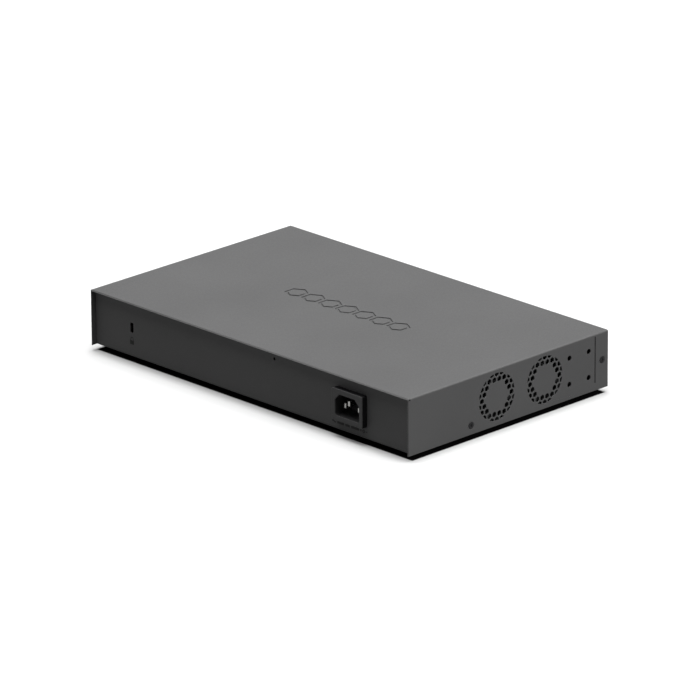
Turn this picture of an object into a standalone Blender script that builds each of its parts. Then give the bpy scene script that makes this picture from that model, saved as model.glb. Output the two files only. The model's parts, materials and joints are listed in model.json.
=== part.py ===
"""Compact one-unit rack network switch: steel case, two side fans, inboard mains supply.

Lengths in this file are millimetres; meshes are scaled to metres as they are made.
The origin is at floor level under the middle of the case. The ports face -Y, the
mains inlet faces +Y, the fans blow out through the -X wall, and +Z is up.
"""

import math

import bmesh
import bpy
from mathutils import Matrix, Vector

MM = 0.001
GAP = 0.3                       # clearance between pieces that meet

# Case
CASE_WIDTH = 330.0
CASE_DEPTH = 203.0
CASE_HEIGHT = 43.2
SHEET = 1.0
FOOT_HEIGHT = 4.0
FOOT_RADIUS = 8.0
FOOT_SPREAD = (140.0, 80.0)
FRONT_INSET = 1.2               # front panel behind the cover's front edge
REAR_INSET = 4.0                # rear panel behind the cover's rear edge
EDGE_CHAMFER = 0.5              # along the cover's rear edge
RELIEF_RADIUS = 0.75            # hole at each end of the cover's folds

HALF_WIDTH = CASE_WIDTH / 2
HALF_DEPTH = CASE_DEPTH / 2
BASE_Z = FOOT_HEIGHT
TOP_Z = BASE_Z + CASE_HEIGHT
WALL_IN = HALF_WIDTH - SHEET
TRAY_HALF = WALL_IN - GAP
FLANGE_OUT = TRAY_HALF - GAP
FLANGE_IN = FLANGE_OUT - SHEET
FLOOR_TOP = BASE_Z + SHEET
ROOF = TOP_Z - SHEET
PANEL_TOP = ROOF - GAP
REAR_Y = HALF_DEPTH - REAR_INSET
FRONT_Y = -HALF_DEPTH + FRONT_INSET
PANEL_BACK_Y = FRONT_Y + SHEET

# Side wall features, measured from the case middle and from the case underside
EAR_CENTRE = (-71.5, 21.6)
EAR_PITCH = 20.0
EAR_HOLE_RADIUS = 2.05
SLIT_Y = -88.1
SLIT_WIDTH = 0.9
SLIT_SPAN = (5.7, 41.2)
FRONT_SCREW = (-95.6, 21.6)
LOWER_SCREW = (38.6, 6.8)
SCREW_HEAD_RADIUS = 2.65
SCREW_SHANK_RADIUS = 1.25
SCREW_LENGTH = 6.0

# Vents
FAN_CENTRES_Y = (-36.1, 12.8)
FAN_Z = BASE_Z + 21.9
VENT_RADIUS = 18.0
VENT_DISC_RADIUS = 12.9
VENT_PITCH = 5.0
VENT_FLATS = 3.8
INTAKE_PITCH = 6.5
INTAKE_FLATS = 5.0
INTAKE_ROWS = 3
INTAKE_COLUMNS = 13
INTAKE_CENTRE_Y = -8.0

# Emblem pressed into the lid: a plain row of hexagon outlines
EMBLEM_COUNT = 7
EMBLEM_PITCH = 17.6
EMBLEM_FLATS = 16.0
EMBLEM_STROKE = 2.4
EMBLEM_DEPTH = 0.75

# Rear panel
INLET_X = -104.5
INLET_Z = BASE_Z + 21.1
INLET_FLANGE = (30.6, 24.0)
INLET_BODY = (27.2, 19.4)
INLET_CAVITY = (24.5, 16.6)
INLET_FACE_Y = HALF_DEPTH + 1.1
INLET_BACK_Y = 74.8
CAVITY_DEPTH = 16.0
PIN_SIZE = (2.0, 4.0)
PIN_SPREAD = 7.0
LIVE_PIN_Z = BASE_Z + 19.8
EARTH_PIN_Z = BASE_Z + 23.9
LOCK_SLOT_X = 125.0
LOCK_SLOT = (3.4, 7.8)
LOCK_SLOT_Z = BASE_Z + 22.3
REAR_HOLE = (-25.4, BASE_Z + 36.9)

# Boards
BOARD_Z = 11.3
BOARD_THICKNESS = 1.6
PART_Z = BOARD_Z + BOARD_THICKNESS + GAP    # underside of what stands on a board
STANDOFF_TOP = BOARD_Z - GAP
MAIN_BOARD = (-128.0, 156.0, -97.0, 2.0)
POWER_BOARD = (-129.0, 24.0, 8.0, 70.0)
STANDOFF_INSET = 5.0

# Mains supply and wiring
EARTH_STUD = (-82.0, 84.0)
MAINS_HEADER = (-124.0, -108.0, 42.0, 50.0)
OUTPUT_HEADER = (0.0, 16.0, 16.0, 24.0)
POWER_HEADER = (0.0, 16.0, -14.0, -6.0)
FAN_HEADER = (-124.0, -112.0, -30.0, -22.0)
HEADER_HEIGHT = 8.0
HEADER_TOP = PART_Z + HEADER_HEIGHT
WIRE_RADIUS = 1.1
TRANSFORMER = (-12.0, 40.0)

# Front panel: ports, lights and buttons
PORT_X = 48.0
PORT_PITCH = 14.0
PORT_COLUMNS = 4
PORT_BLOCK = (59.0, 26.5)
PORT_FACE_Y = FRONT_Y - 0.7
PORT_BACK_Y = -66.0
PORT_MOUTH_DEPTH = 20.0
CAGE_XS = (96.0, 115.0)
CAGE_SIZE = (15.0, 10.4)
CAGE_BACK_Y = -52.0
CAGE_WALL = 0.5
LIGHT_FIRST_X = -60.0
LIGHT_PITCH = 8.0
LIGHT_COLUMNS = 8
LIGHT_ROWS_Z = (25.0, 33.0)
STATUS_XS = (-118.0, -111.0, -104.0)
STATUS_Z = 33.0
WINDOW = 2.6
RESET_X = -118.0
MODE_X = -104.0
BUTTON_Z = 17.0
RESET_TRAVEL = 0.3
MODE_TRAVEL = 0.6

# Fans
FAN_SIZE = 40.0
FAN_OUT_X = -162.0
FAN_DEPTH = 20.0
FAN_IN_X = FAN_OUT_X + FAN_DEPTH
FAN_BORE = 18.9
FAN_HOLE_PITCH = 32.0
BLADE_COUNT = 7
BLADE_TIP = 18.0
HUB_RADIUS = 11.0

# Colours: linear red, green, blue
STEEL_GREY = (0.085, 0.085, 0.087)
BOARD_GREEN = (0.02, 0.14, 0.06)
PLASTIC_BLACK = (0.012, 0.012, 0.013)
RUBBER_BLACK = (0.02, 0.02, 0.02)
ALUMINIUM = (0.72, 0.73, 0.74)
TIN = (0.62, 0.61, 0.58)
ZINC = (0.45, 0.46, 0.47)
IVORY = (0.75, 0.72, 0.62)


# ---------------------------------------------------------------- outlines

def rectangle(u0, u1, v0, v1):
    """Corner points of an upright rectangle."""
    return [(u0, v0), (u1, v0), (u1, v1), (u0, v1)]


def centred(width, height, u=0.0, v=0.0):
    """Corner points of a rectangle about a middle point."""
    return rectangle(u - width / 2, u + width / 2, v - height / 2, v + height / 2)


def circle(radius, u=0.0, v=0.0, sides=16):
    """Points of a regular polygon that stands for a circle."""
    steps = [2 * math.pi * i / sides for i in range(sides)]
    return [(u + radius * math.cos(a), v + radius * math.sin(a)) for a in steps]


def hexagon(flats, u=0.0, v=0.0):
    """A hexagon with a corner at the top, by its width across flats."""
    corner = flats / math.sqrt(3)
    steps = [math.radians(30 + 60 * i) for i in range(6)]
    return [(u + corner * math.cos(a), v + corner * math.sin(a)) for a in steps]


def arc(u, v, radius, start, end, steps):
    """Points along an arc, its angles in degrees."""
    turns = [math.radians(start + (end - start) * i / steps) for i in range(steps + 1)]
    return [(u + radius * math.cos(a), v + radius * math.sin(a)) for a in turns]


def rounded(width, height, radius, u=0.0, v=0.0, steps=3):
    """A rectangle about a middle point, with round corners."""
    du = width / 2 - radius
    dv = height / 2 - radius
    corners = ((1, 1, 0), (-1, 1, 90), (-1, -1, 180), (1, -1, 270))
    points = []
    for side_u, side_v, start in corners:
        points += arc(u + side_u * du, v + side_v * dv, radius, start, start + 90, steps)
    return points


def clip_to_circle(points, radius, u, v, sides=60):
    """The part of a convex outline that lies inside a circle."""
    rim = circle(radius, u, v, sides)
    for i, start in enumerate(rim):
        end = rim[(i + 1) % sides]
        points = clip_to_line(points, start, end)
        if not points:
            return []
    return points


def clip_to_line(points, start, end):
    """The part of a convex outline on the left of a line."""
    def side(p):
        across = (end[0] - start[0]) * (p[1] - start[1])
        return across - (end[1] - start[1]) * (p[0] - start[0])

    kept = []
    for i, here in enumerate(points):
        before = points[i - 1]
        if (side(before) > 0) != (side(here) > 0):
            part = side(before) / (side(before) - side(here))
            step = [a + part * (b - a) for a, b in zip(before, here)]
            kept.append(tuple(step))
        if side(here) > 0:
            kept.append(here)
    return kept


# ---------------------------------------------------------------- meshes

def place(axis, u, v, w):
    """The point with outline coordinates u and v, at w along the named axis."""
    return {"X": (w, u, v), "Y": (u, w, v), "Z": (u, v, w)}[axis]


def prism(axis, outline, start, end, holes=()):
    """A flat outline with holes, run from start to end along an axis."""
    bm = bmesh.new()
    cap_edges = {start: [], end: []}
    for loop in (outline, *holes):
        rings = []
        for height in (start, end):
            ring = [bm.verts.new(place(axis, u, v, height)) for u, v in loop]
            cap_edges[height] += [bm.edges.new((ring[i - 1], ring[i])) for i in range(len(ring))]
            rings.append(ring)
        near, far = rings
        for i in range(len(loop)):
            bm.faces.new((near[i - 1], near[i], far[i], far[i - 1]))
    for edges in cap_edges.values():
        bmesh.ops.triangle_fill(bm, use_beauty=True, use_dissolve=False, edges=edges)
    bmesh.ops.recalc_face_normals(bm, faces=bm.faces[:])
    return bm


def box(x0, x1, y0, y1, z0, z1):
    """An upright block between two corners."""
    return prism("Z", rectangle(x0, x1, y0, y1), z0, z1)


def turned(axis, centre, profile, sides=24, ring=False):
    """A profile of (radius, height) points turned about an axis; a ring profile closes on itself."""
    bm = bmesh.new()
    rows = []
    for radius, height in profile:
        count = sides if radius > 0 else 1
        points = circle(radius, *centre, sides)[:count] if radius > 0 else [centre]
        rows.append([bm.verts.new(place(axis, u, v, height)) for u, v in points])
    pairs = list(zip(rows, rows[1:]))
    if ring:
        pairs.append((rows[-1], rows[0]))
    for low, high in pairs:
        for i in range(sides):
            near = low if len(low) == 1 else [low[i - 1], low[i]]
            far = high if len(high) == 1 else [high[i], high[i - 1]]
            bm.faces.new(near + far)
    bmesh.ops.recalc_face_normals(bm, faces=bm.faces[:])
    return bm


def cylinder(axis, centre, radius, start, end, sides=16):
    """A plain round bar."""
    return turned(axis, centre, [(0, start), (radius, start), (radius, end), (0, end)], sides)


def open_box(x0, x1, y0, y1, z0, z1, wall):
    """A box open at its -Y end, with walls of one thickness."""
    bm = box(x0, x1, y0, y1, z0, z1)
    bmesh.ops.dissolve_limit(bm, angle_limit=0.01, verts=bm.verts[:], edges=bm.edges[:])
    front = min(bm.faces, key=lambda face: face.calc_center_median().y)
    bmesh.ops.inset_region(bm, faces=[front], thickness=wall, use_even_offset=True)
    pushed = bmesh.ops.extrude_discrete_faces(bm, faces=[front])["faces"]
    depth = y1 - y0 - wall
    bmesh.ops.translate(bm, vec=(0, depth, 0), verts=list(pushed[0].verts))
    bmesh.ops.recalc_face_normals(bm, faces=bm.faces[:])
    return bm


def new_object(name, bm):
    """Link a mesh as a named object, scaled to metres."""
    mesh = bpy.data.meshes.new(name)
    bm.to_mesh(mesh)
    bm.free()
    mesh.transform(Matrix.Scale(MM, 4))
    piece = bpy.data.objects.new(name, mesh)
    bpy.context.collection.objects.link(piece)
    return piece


def gather(shapes):
    """Several meshes, which don't touch, as one."""
    together = bmesh.new()
    for shape in shapes:
        mesh = bpy.data.meshes.new("part_of_tool")
        shape.to_mesh(mesh)
        shape.free()
        together.from_mesh(mesh)
        bpy.data.meshes.remove(mesh)
    return together


def combine(piece, operation, *shapes):
    """Add shapes to a piece, or cut them from it; they don't touch one another."""
    tool = new_object(piece.name + "_tool", gather(shapes))
    modifier = piece.modifiers.new(operation.lower(), "BOOLEAN")
    modifier.operation = operation
    modifier.solver = "EXACT"
    modifier.object = tool
    graph = bpy.context.evaluated_depsgraph_get()
    mesh = bpy.data.meshes.new_from_object(piece.evaluated_get(graph))
    piece.modifiers.clear()
    piece.data = mesh
    bpy.data.objects.remove(tool)


def finish(piece, colour, roughness, metallic=0.0, smooth=False, origin=None):
    """Give a piece its own material, shading and origin."""
    material = bpy.data.materials.new(piece.name)
    material.use_nodes = True
    shader = material.node_tree.nodes["Principled BSDF"]
    shader.inputs["Base Color"].default_value = (*colour, 1.0)
    shader.inputs["Roughness"].default_value = roughness
    shader.inputs["Metallic"].default_value = metallic
    piece.data.materials.clear()
    piece.data.materials.append(material)
    if smooth:
        piece.data.shade_smooth()
        piece.data.set_sharp_from_angle(angle=math.radians(35))
    if origin:
        point = Vector(origin) * MM
        piece.data.transform(Matrix.Translation(-point))
        piece.location = point
    return piece


# ---------------------------------------------------------------- case

def vent_ring_holes(fan_y):
    """Hexagonal holes in a ring over one fan, trimmed to a circle."""
    holes = []
    row_step = VENT_PITCH * math.sqrt(3) / 2
    reach = math.ceil(VENT_RADIUS / row_step) + 1
    for row in range(-reach, reach + 1):
        for column in range(-reach, reach + 1):
            y = (column + 0.5 * (row % 2)) * VENT_PITCH
            z = row * row_step
            distance = math.hypot(y, z)
            if VENT_DISC_RADIUS < distance < VENT_RADIUS + 0.1:
                hole = hexagon(VENT_FLATS, fan_y + y, FAN_Z + z)
                holes.append(clip_to_circle(hole, VENT_RADIUS, fan_y, FAN_Z))
    return holes


def intake_holes():
    """Hexagonal intake holes in staggered rows."""
    holes = []
    row_step = INTAKE_PITCH * math.sqrt(3) / 2
    for row in range(INTAKE_ROWS):
        for column in range(INTAKE_COLUMNS):
            stagger = 0.5 * (row % 2) - INTAKE_COLUMNS / 2
            y = INTAKE_CENTRE_Y + (column + stagger) * INTAKE_PITCH
            z = FAN_Z + (row - (INTAKE_ROWS - 1) / 2) * row_step
            holes.append(hexagon(INTAKE_FLATS, y, z))
    return holes


def ear_hole_centres():
    """The four rack ear holes of one side wall."""
    y, z = EAR_CENTRE
    half = EAR_PITCH / 2
    return [(y + a * half, BASE_Z + z + b * half) for a in (-1, 1) for b in (-1, 1)]


def side_screws():
    """Screw places on one side wall, as (y, z)."""
    return [(y, BASE_Z + z) for y, z in (FRONT_SCREW, LOWER_SCREW)]


def side_wall_cutters(side):
    """What both side walls have cut in them; side is -1 or +1."""
    outside = side * (HALF_WIDTH + 1)
    inside = side * (WALL_IN - 1)
    slit_z = [BASE_Z + z for z in SLIT_SPAN]
    slit = rectangle(SLIT_Y - SLIT_WIDTH / 2, SLIT_Y + SLIT_WIDTH / 2, *slit_z)
    relief = circle(RELIEF_RADIUS, HALF_DEPTH - 1.6, ROOF - 0.3, 8)
    cutters = [prism("X", shape, outside, inside) for shape in (slit, relief)]
    for y, z in ear_hole_centres():
        cutters.append(cylinder("X", (y, z), EAR_HOLE_RADIUS, outside, inside))
    cone = SCREW_HEAD_RADIUS + GAP
    profile = [(0, outside), (cone + 1, outside), (cone - 2, inside), (0, inside)]
    for centre in side_screws():
        cutters.append(turned("X", centre, profile, 20))
    return cutters


def rear_edge_cutters():
    """Chamfers along the outside of the cover's rear edge, on the lid and both walls."""
    beyond = 0.2
    leg = EDGE_CHAMFER + 2 * beyond
    y = HALF_DEPTH + beyond
    z = TOP_Z + beyond
    lid = [(y, z), (y, z - leg), (y - leg, z)]
    cutters = [prism("X", lid, -HALF_WIDTH - 1, HALF_WIDTH + 1)]
    for side in (-1, 1):
        x = side * (HALF_WIDTH + beyond)
        wall = [(x, y), (x, y - leg), (x - side * leg, y)]
        cutters.append(prism("Z", wall, BASE_Z - 1, z - leg - 0.1))
    return cutters


def emblem_cutters():
    """Hexagon outlines sunk in the lid."""
    cutters = []
    for i in range(EMBLEM_COUNT):
        x = (i - (EMBLEM_COUNT - 1) / 2) * EMBLEM_PITCH
        outer = hexagon(EMBLEM_FLATS, x, 0)
        inner = hexagon(EMBLEM_FLATS - 2 * EMBLEM_STROKE, x, 0)
        cutters.append(prism("Z", outer, TOP_Z - EMBLEM_DEPTH, TOP_Z + 1, [inner]))
    return cutters


def make_top_cover():
    """Lid and both side walls, folded from one sheet."""
    outer = 1.1
    inner = 0.3
    outline = [(WALL_IN, BASE_Z), (HALF_WIDTH, BASE_Z)]
    outline += arc(HALF_WIDTH - outer, TOP_Z - outer, outer, 0, 90, 3)
    outline += arc(-HALF_WIDTH + outer, TOP_Z - outer, outer, 90, 180, 3)
    outline += [(-HALF_WIDTH, BASE_Z), (-WALL_IN, BASE_Z)]
    outline += arc(-WALL_IN + inner, ROOF - inner, inner, 180, 90, 2)
    outline += arc(WALL_IN - inner, ROOF - inner, inner, 90, 0, 2)
    cover = new_object("top_cover", prism("Y", outline, -HALF_DEPTH, HALF_DEPTH))
    cutters = emblem_cutters() + rear_edge_cutters()
    for side in (-1, 1):
        cutters += side_wall_cutters(side)
    for fan_y in FAN_CENTRES_Y:
        for hole in vent_ring_holes(fan_y):
            cutters.append(prism("X", hole, -HALF_WIDTH - 1, -WALL_IN + 1))
    for hole in intake_holes():
        cutters.append(prism("X", hole, WALL_IN - 1, HALF_WIDTH + 1))
    combine(cover, "DIFFERENCE", *cutters)
    return finish(cover, STEEL_GREY, 0.55)


def board_corners(board):
    """Screw places near a board's corners."""
    x0, x1, y0, y1 = board
    inset = STANDOFF_INSET
    return [(x, y) for x in (x0 + inset, x1 - inset) for y in (y0 + inset, y1 - inset)]


def standoff(centre):
    """Pressed-in spacer with a blind hole for a board screw."""
    profile = [(0, FLOOR_TOP - 0.4), (3.0, FLOOR_TOP - 0.4), (3.0, STANDOFF_TOP)]
    profile += [(1.5, STANDOFF_TOP), (1.5, FLOOR_TOP + 1.0), (0, FLOOR_TOP + 1.0)]
    return turned("Z", centre, profile, 12)


def side_flange(side):
    """Low stiffening lip along the tray, with a raised tab for the lower cover screw."""
    screw_y = LOWER_SCREW[0]
    front = -84.0
    rear = REAR_Y - SHEET + 0.2
    low = BASE_Z + 0.4
    lip = BASE_Z + 3.5
    tab = BASE_Z + 13.0
    outline = [(front, low), (rear, low), (rear, lip), (screw_y + 7, lip)]
    outline += [(screw_y + 6, tab), (screw_y - 6, tab), (screw_y - 7, lip), (front, lip)]
    hole = circle(SCREW_SHANK_RADIUS + 0.45, screw_y, BASE_Z + LOWER_SCREW[1], 12)
    return prism("X", outline, side * FLANGE_IN, side * FLANGE_OUT, [hole])


def make_chassis_tray():
    """Floor and rear panel in one sheet, with side lips, spacers and an earth stud."""
    front = PANEL_BACK_Y + 0.4
    outline = [(front, BASE_Z)] + arc(REAR_Y - 1.2, BASE_Z + 1.2, 1.2, -90, 0, 3)
    outline += [(REAR_Y, PANEL_TOP), (REAR_Y - SHEET, PANEL_TOP)]
    outline += [(REAR_Y - SHEET, FLOOR_TOP), (front, FLOOR_TOP)]
    tray = new_object("chassis_tray", prism("X", outline, -TRAY_HALF, TRAY_HALF))
    posts = [standoff(c) for board in (MAIN_BOARD, POWER_BOARD) for c in board_corners(board)]
    stud = cylinder("Z", EARTH_STUD, 2.0, FLOOR_TOP - 0.4, FLOOR_TOP + 7, 12)
    combine(tray, "UNION", side_flange(-1), side_flange(1), stud, *posts)
    through = (REAR_Y - 2 * SHEET, REAR_Y + SHEET)
    inlet = rounded(INLET_BODY[0] + 2 * GAP, INLET_BODY[1] + 2 * GAP, 1.0, INLET_X, INLET_Z)
    slot = rounded(*LOCK_SLOT, 1.0, LOCK_SLOT_X, LOCK_SLOT_Z)
    openings = [prism("Y", shape, *through) for shape in (inlet, slot)]
    openings.append(cylinder("Y", REAR_HOLE, 1.2, *through, 12))
    combine(tray, "DIFFERENCE", *openings)
    return finish(tray, STEEL_GREY, 0.55)


def light_windows():
    """Square windows for the port lights and the status lights."""
    columns = [LIGHT_FIRST_X + i * LIGHT_PITCH for i in range(LIGHT_COLUMNS)]
    places = [(x, z) for z in LIGHT_ROWS_Z for x in columns]
    places += [(x, STATUS_Z) for x in STATUS_XS]
    return [centred(WINDOW, WINDOW, x, z) for x, z in places]


def port_centre_z():
    """Middle height of the port block."""
    return PART_Z + PORT_BLOCK[1] / 2


def cage_centre_z():
    """Middle height of the two optical module cages."""
    return PART_Z + CAGE_SIZE[1] / 2


def make_front_panel():
    """Front plate with its port, light and button openings, and two side returns."""
    slack = 2 * GAP
    holes = [centred(PORT_BLOCK[0] + slack, PORT_BLOCK[1] + slack, PORT_X, port_centre_z())]
    for x in CAGE_XS:
        holes.append(centred(CAGE_SIZE[0] + slack, CAGE_SIZE[1] + slack, x, cage_centre_z()))
    holes += light_windows()
    holes.append(circle(2.8, MODE_X, BUTTON_Z, 20))
    holes.append(circle(1.2, RESET_X, BUTTON_Z, 12))
    plate = rectangle(-TRAY_HALF, TRAY_HALF, BASE_Z, PANEL_TOP)
    panel = new_object("front_panel", prism("Y", plate, FRONT_Y, PANEL_BACK_Y, holes))
    screw_y, screw_z = side_screws()[0]
    hole = circle(SCREW_SHANK_RADIUS + 0.45, screw_y, screw_z, 12)
    inside_plate = PANEL_BACK_Y - SHEET / 2
    side = rectangle(inside_plate, -86.5, FLOOR_TOP + 0.6, PANEL_TOP - 0.4)
    returns = [prism("X", side, s * FLANGE_IN, s * FLANGE_OUT, [hole]) for s in (-1, 1)]
    combine(panel, "UNION", *returns)
    return finish(panel, STEEL_GREY, 0.55)


def make_feet():
    """Four soft stick-on feet."""
    top = BASE_Z - GAP
    radius = FOOT_RADIUS
    profile = [(0, 0), (radius - 0.8, 0), (radius, 0.8), (radius, top - 0.4)]
    profile += [(radius - 0.4, top), (0, top)]
    for x_name, x in (("left", -FOOT_SPREAD[0]), ("right", FOOT_SPREAD[0])):
        for y_name, y in (("front", -FOOT_SPREAD[1]), ("rear", FOOT_SPREAD[1])):
            foot = new_object(f"rubber_foot_{y_name}_{x_name}", turned("Z", (x, y), profile, 20))
            finish(foot, RUBBER_BLACK, 0.85, smooth=True)


def cross_recess(side, centre):
    """Cross-shaped driver recess in a screw head that faces along X."""
    arm = 1.3
    half = 0.3
    y, z = centre
    corners = [(arm, -half), (arm, half), (half, half), (half, arm), (-half, arm), (-half, half)]
    corners += [(-u, -v) for u, v in corners]
    outline = [(y + u, z + v) for u, v in corners]
    return prism("X", outline, side * (HALF_WIDTH - 0.8), side * (HALF_WIDTH + 1))


def make_cover_screws():
    """Countersunk screws that hold the cover, two on each side."""
    for side_name, side in (("left", -1), ("right", 1)):
        for place_name, centre in zip(("front", "lower"), side_screws()):
            head = side * (HALF_WIDTH - 0.05)
            neck = head - side * (SCREW_HEAD_RADIUS - SCREW_SHANK_RADIUS)
            tip = head - side * SCREW_LENGTH
            profile = [(0, head), (SCREW_HEAD_RADIUS, head), (SCREW_SHANK_RADIUS, neck)]
            profile += [(SCREW_SHANK_RADIUS, tip), (0, tip)]
            name = f"cover_screw_{place_name}_{side_name}"
            screw = new_object(name, turned("X", centre, profile, 16))
            combine(screw, "DIFFERENCE", cross_recess(side, centre))
            finish(screw, STEEL_GREY, 0.4, 0.6)


# ---------------------------------------------------------------- front parts

def make_board(name, board, extra_holes=()):
    """A circuit board with a screw hole over each of its spacers."""
    holes = [circle(1.7, x, y, 12) for x, y in board_corners(board)] + list(extra_holes)
    bm = prism("Z", rectangle(*board), BOARD_Z, BOARD_Z + BOARD_THICKNESS, holes)
    return finish(new_object(name, bm), BOARD_GREEN, 0.45)


def jack_outline(x, row):
    """Socket mouth with its stepped latch notch pointing away from the block's middle."""
    z = port_centre_z()
    steps = [(11.8, 1.3), (11.8, 8.1), (6.4, 8.1), (6.4, 9.6), (3.4, 9.6), (3.4, 10.9)]
    right = [(x + width / 2, z + row * height) for width, height in steps]
    left = [(x - width / 2, z + row * height) for width, height in reversed(steps)]
    return right + left


def port_columns():
    """Middle of each column of ports."""
    return [PORT_X + (i - (PORT_COLUMNS - 1) / 2) * PORT_PITCH for i in range(PORT_COLUMNS)]


def make_port_block():
    """Two rows of sockets: a plastic body inside a folded metal shield."""
    wall = 0.5
    x0 = PORT_X - PORT_BLOCK[0] / 2
    x1 = PORT_X + PORT_BLOCK[0] / 2
    z1 = PART_Z + PORT_BLOCK[1]
    shell = open_box(x0, x1, PORT_FACE_Y, PORT_BACK_Y, PART_Z, z1, wall)
    finish(new_object("port_shield", shell), TIN, 0.35, 1.0)
    skin = wall + GAP
    front = PORT_FACE_Y + 0.4
    body = box(x0 + skin, x1 - skin, front, PORT_BACK_Y - skin, PART_Z + skin, z1 - skin)
    housing = new_object("port_housing", body)
    mouths = [jack_outline(x, row) for x in port_columns() for row in (-1, 1)]
    depth = (front - 1, front + PORT_MOUTH_DEPTH)
    combine(housing, "DIFFERENCE", *[prism("Y", mouth, *depth) for mouth in mouths])
    finish(housing, PLASTIC_BLACK, 0.5)


def make_cages():
    """Two optical module cages, each with its edge connector at the back."""
    half = CAGE_SIZE[0] / 2
    z1 = PART_Z + CAGE_SIZE[1]
    for name, x in zip(("left", "right"), CAGE_XS):
        shell = open_box(x - half, x + half, PORT_FACE_Y, CAGE_BACK_Y, PART_Z, z1, CAGE_WALL)
        finish(new_object(f"module_cage_{name}", shell), TIN, 0.3, 1.0)
        back = CAGE_BACK_Y - CAGE_WALL - GAP
        low = PART_Z + CAGE_WALL + GAP
        block = box(x - 5, x + 5, back - 9, back, low, low + 6)
        connector = new_object(f"module_connector_{name}", block)
        slot = box(x - 4, x + 4, back - 10, back - 4, low + 2.2, low + 3.8)
        combine(connector, "DIFFERENCE", slot)
        finish(connector, PLASTIC_BLACK, 0.5)


def prongs(places):
    """Square light guides that reach into the panel's windows."""
    size = WINDOW - 2 * GAP
    back = PANEL_BACK_Y + GAP + 0.5
    return [prism("Y", centred(size, size, x, z), FRONT_Y + 0.2, back) for x, z in places]


def make_light_pipes():
    """Clear guides from the board's lights to the front panel."""
    front = PANEL_BACK_Y + GAP
    back = front + 4
    columns = [LIGHT_FIRST_X + i * LIGHT_PITCH for i in range(LIGHT_COLUMNS)]
    block = rectangle(columns[0] - 3, columns[-1] + 3, PART_Z, LIGHT_ROWS_Z[1] + 3)
    pipe = new_object("port_light_pipe", prism("Y", block, front, back))
    combine(pipe, "UNION", *prongs([(x, z) for x in columns for z in LIGHT_ROWS_Z]))
    finish(pipe, (0.85, 0.88, 0.9), 0.2)
    left = STATUS_XS[0] - 4.5
    right = STATUS_XS[-1] + 4.5
    leg = 3.5
    arch = [(left - leg, PART_Z), (left, PART_Z), (left, STATUS_Z - 3), (right, STATUS_Z - 3)]
    arch += [(right, PART_Z), (right + leg, PART_Z), (right + leg, STATUS_Z + 2)]
    arch += [(left - leg, STATUS_Z + 2)]
    pipe = new_object("status_light_pipe", prism("Y", arch, front, back))
    combine(pipe, "UNION", *prongs([(x, STATUS_Z) for x in STATUS_XS]))
    finish(pipe, (0.85, 0.88, 0.9), 0.2)


def make_buttons():
    """Mode button with its cap through the panel, and the reset plunger behind its pinhole."""
    cap_front = FRONT_Y - 0.8
    cap_back = PANEL_BACK_Y + 0.4
    stem_end = cap_back + 3.9
    profile = [(0, cap_front), (2.1, cap_front), (2.5, cap_front + 0.4), (2.5, cap_back)]
    profile += [(3.4, cap_back), (3.4, cap_back + 1.2), (1.2, cap_back + 1.2), (1.2, stem_end), (0, stem_end)]
    button = new_object("mode_button", turned("Y", (MODE_X, BUTTON_Z), profile, 16))
    finish(button, PLASTIC_BLACK, 0.4, smooth=True, origin=(MODE_X, cap_back, BUTTON_Z))
    switch_front = stem_end + MODE_TRAVEL + GAP
    body = box(MODE_X - 3.2, MODE_X + 3.2, switch_front, switch_front + 4, PART_Z, PART_Z + 7)
    finish(new_object("mode_switch", body), PLASTIC_BLACK, 0.4)
    plunger_front = PANEL_BACK_Y + 1.2
    plunger_back = plunger_front + 3.2
    profile = [(0, plunger_front), (0.8, plunger_front), (1.0, plunger_front + 0.2)]
    profile += [(1.0, plunger_back), (0, plunger_back)]
    plunger = new_object("reset_button", turned("Y", (RESET_X, BUTTON_Z), profile, 14))
    finish(plunger, IVORY, 0.4, smooth=True, origin=(RESET_X, plunger_front, BUTTON_Z))
    switch_front = plunger_back + RESET_TRAVEL + GAP
    body = box(RESET_X - 3, RESET_X + 3, switch_front, switch_front + 3.5, PART_Z, PART_Z + 6.5)
    finish(new_object("reset_switch", body), PLASTIC_BLACK, 0.4)


def comb(x0, x1, low, base, top, fins, fin):
    """Outline of a finned heatsink: a base with upright fins."""
    pitch = (x1 - x0 - fin) / (fins - 1)
    outline = [(x0, low), (x1, low)]
    for i in reversed(range(fins)):
        right = x0 + i * pitch + fin
        left = right - fin
        outline += [(right, top), (left, top)]
        if i > 0:
            outline += [(left, base), (left - pitch + fin, base)]
    return outline


def make_chips():
    """Switch and line chips on the main board under their heatsinks."""
    chips = (
        ("switch_chip", "switch_heatsink", PORT_X, -36.0, 27.0, 24.0, 9, 30.0),
        ("line_chip", "line_heatsink", -28.0, -40.0, 19.0, 20.0, 8, 26.0),
    )
    chip_height = 2.0
    for chip_name, sink_name, x, y, chip, half, fins, top in chips:
        chip_top = PART_Z + chip_height
        low = chip_top + GAP
        package = prism("Z", centred(chip, chip, x, y), PART_Z, chip_top)
        finish(new_object(chip_name, package), PLASTIC_BLACK, 0.6)
        sink = prism("Y", comb(x - half, x + half, low, low + 3, top, fins, 1.2), y - half, y + half)
        finish(new_object(sink_name, sink), ALUMINIUM, 0.35, 1.0)


# ---------------------------------------------------------------- mains supply

def make_headers():
    """Wire connectors that stand on the boards."""
    headers = {"mains_header": MAINS_HEADER, "output_header": OUTPUT_HEADER}
    headers.update({"power_header": POWER_HEADER, "fan_header": FAN_HEADER})
    for name, footprint in headers.items():
        block = box(*footprint, PART_Z, HEADER_TOP)
        finish(new_object(name, block), IVORY, 0.5)


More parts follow.
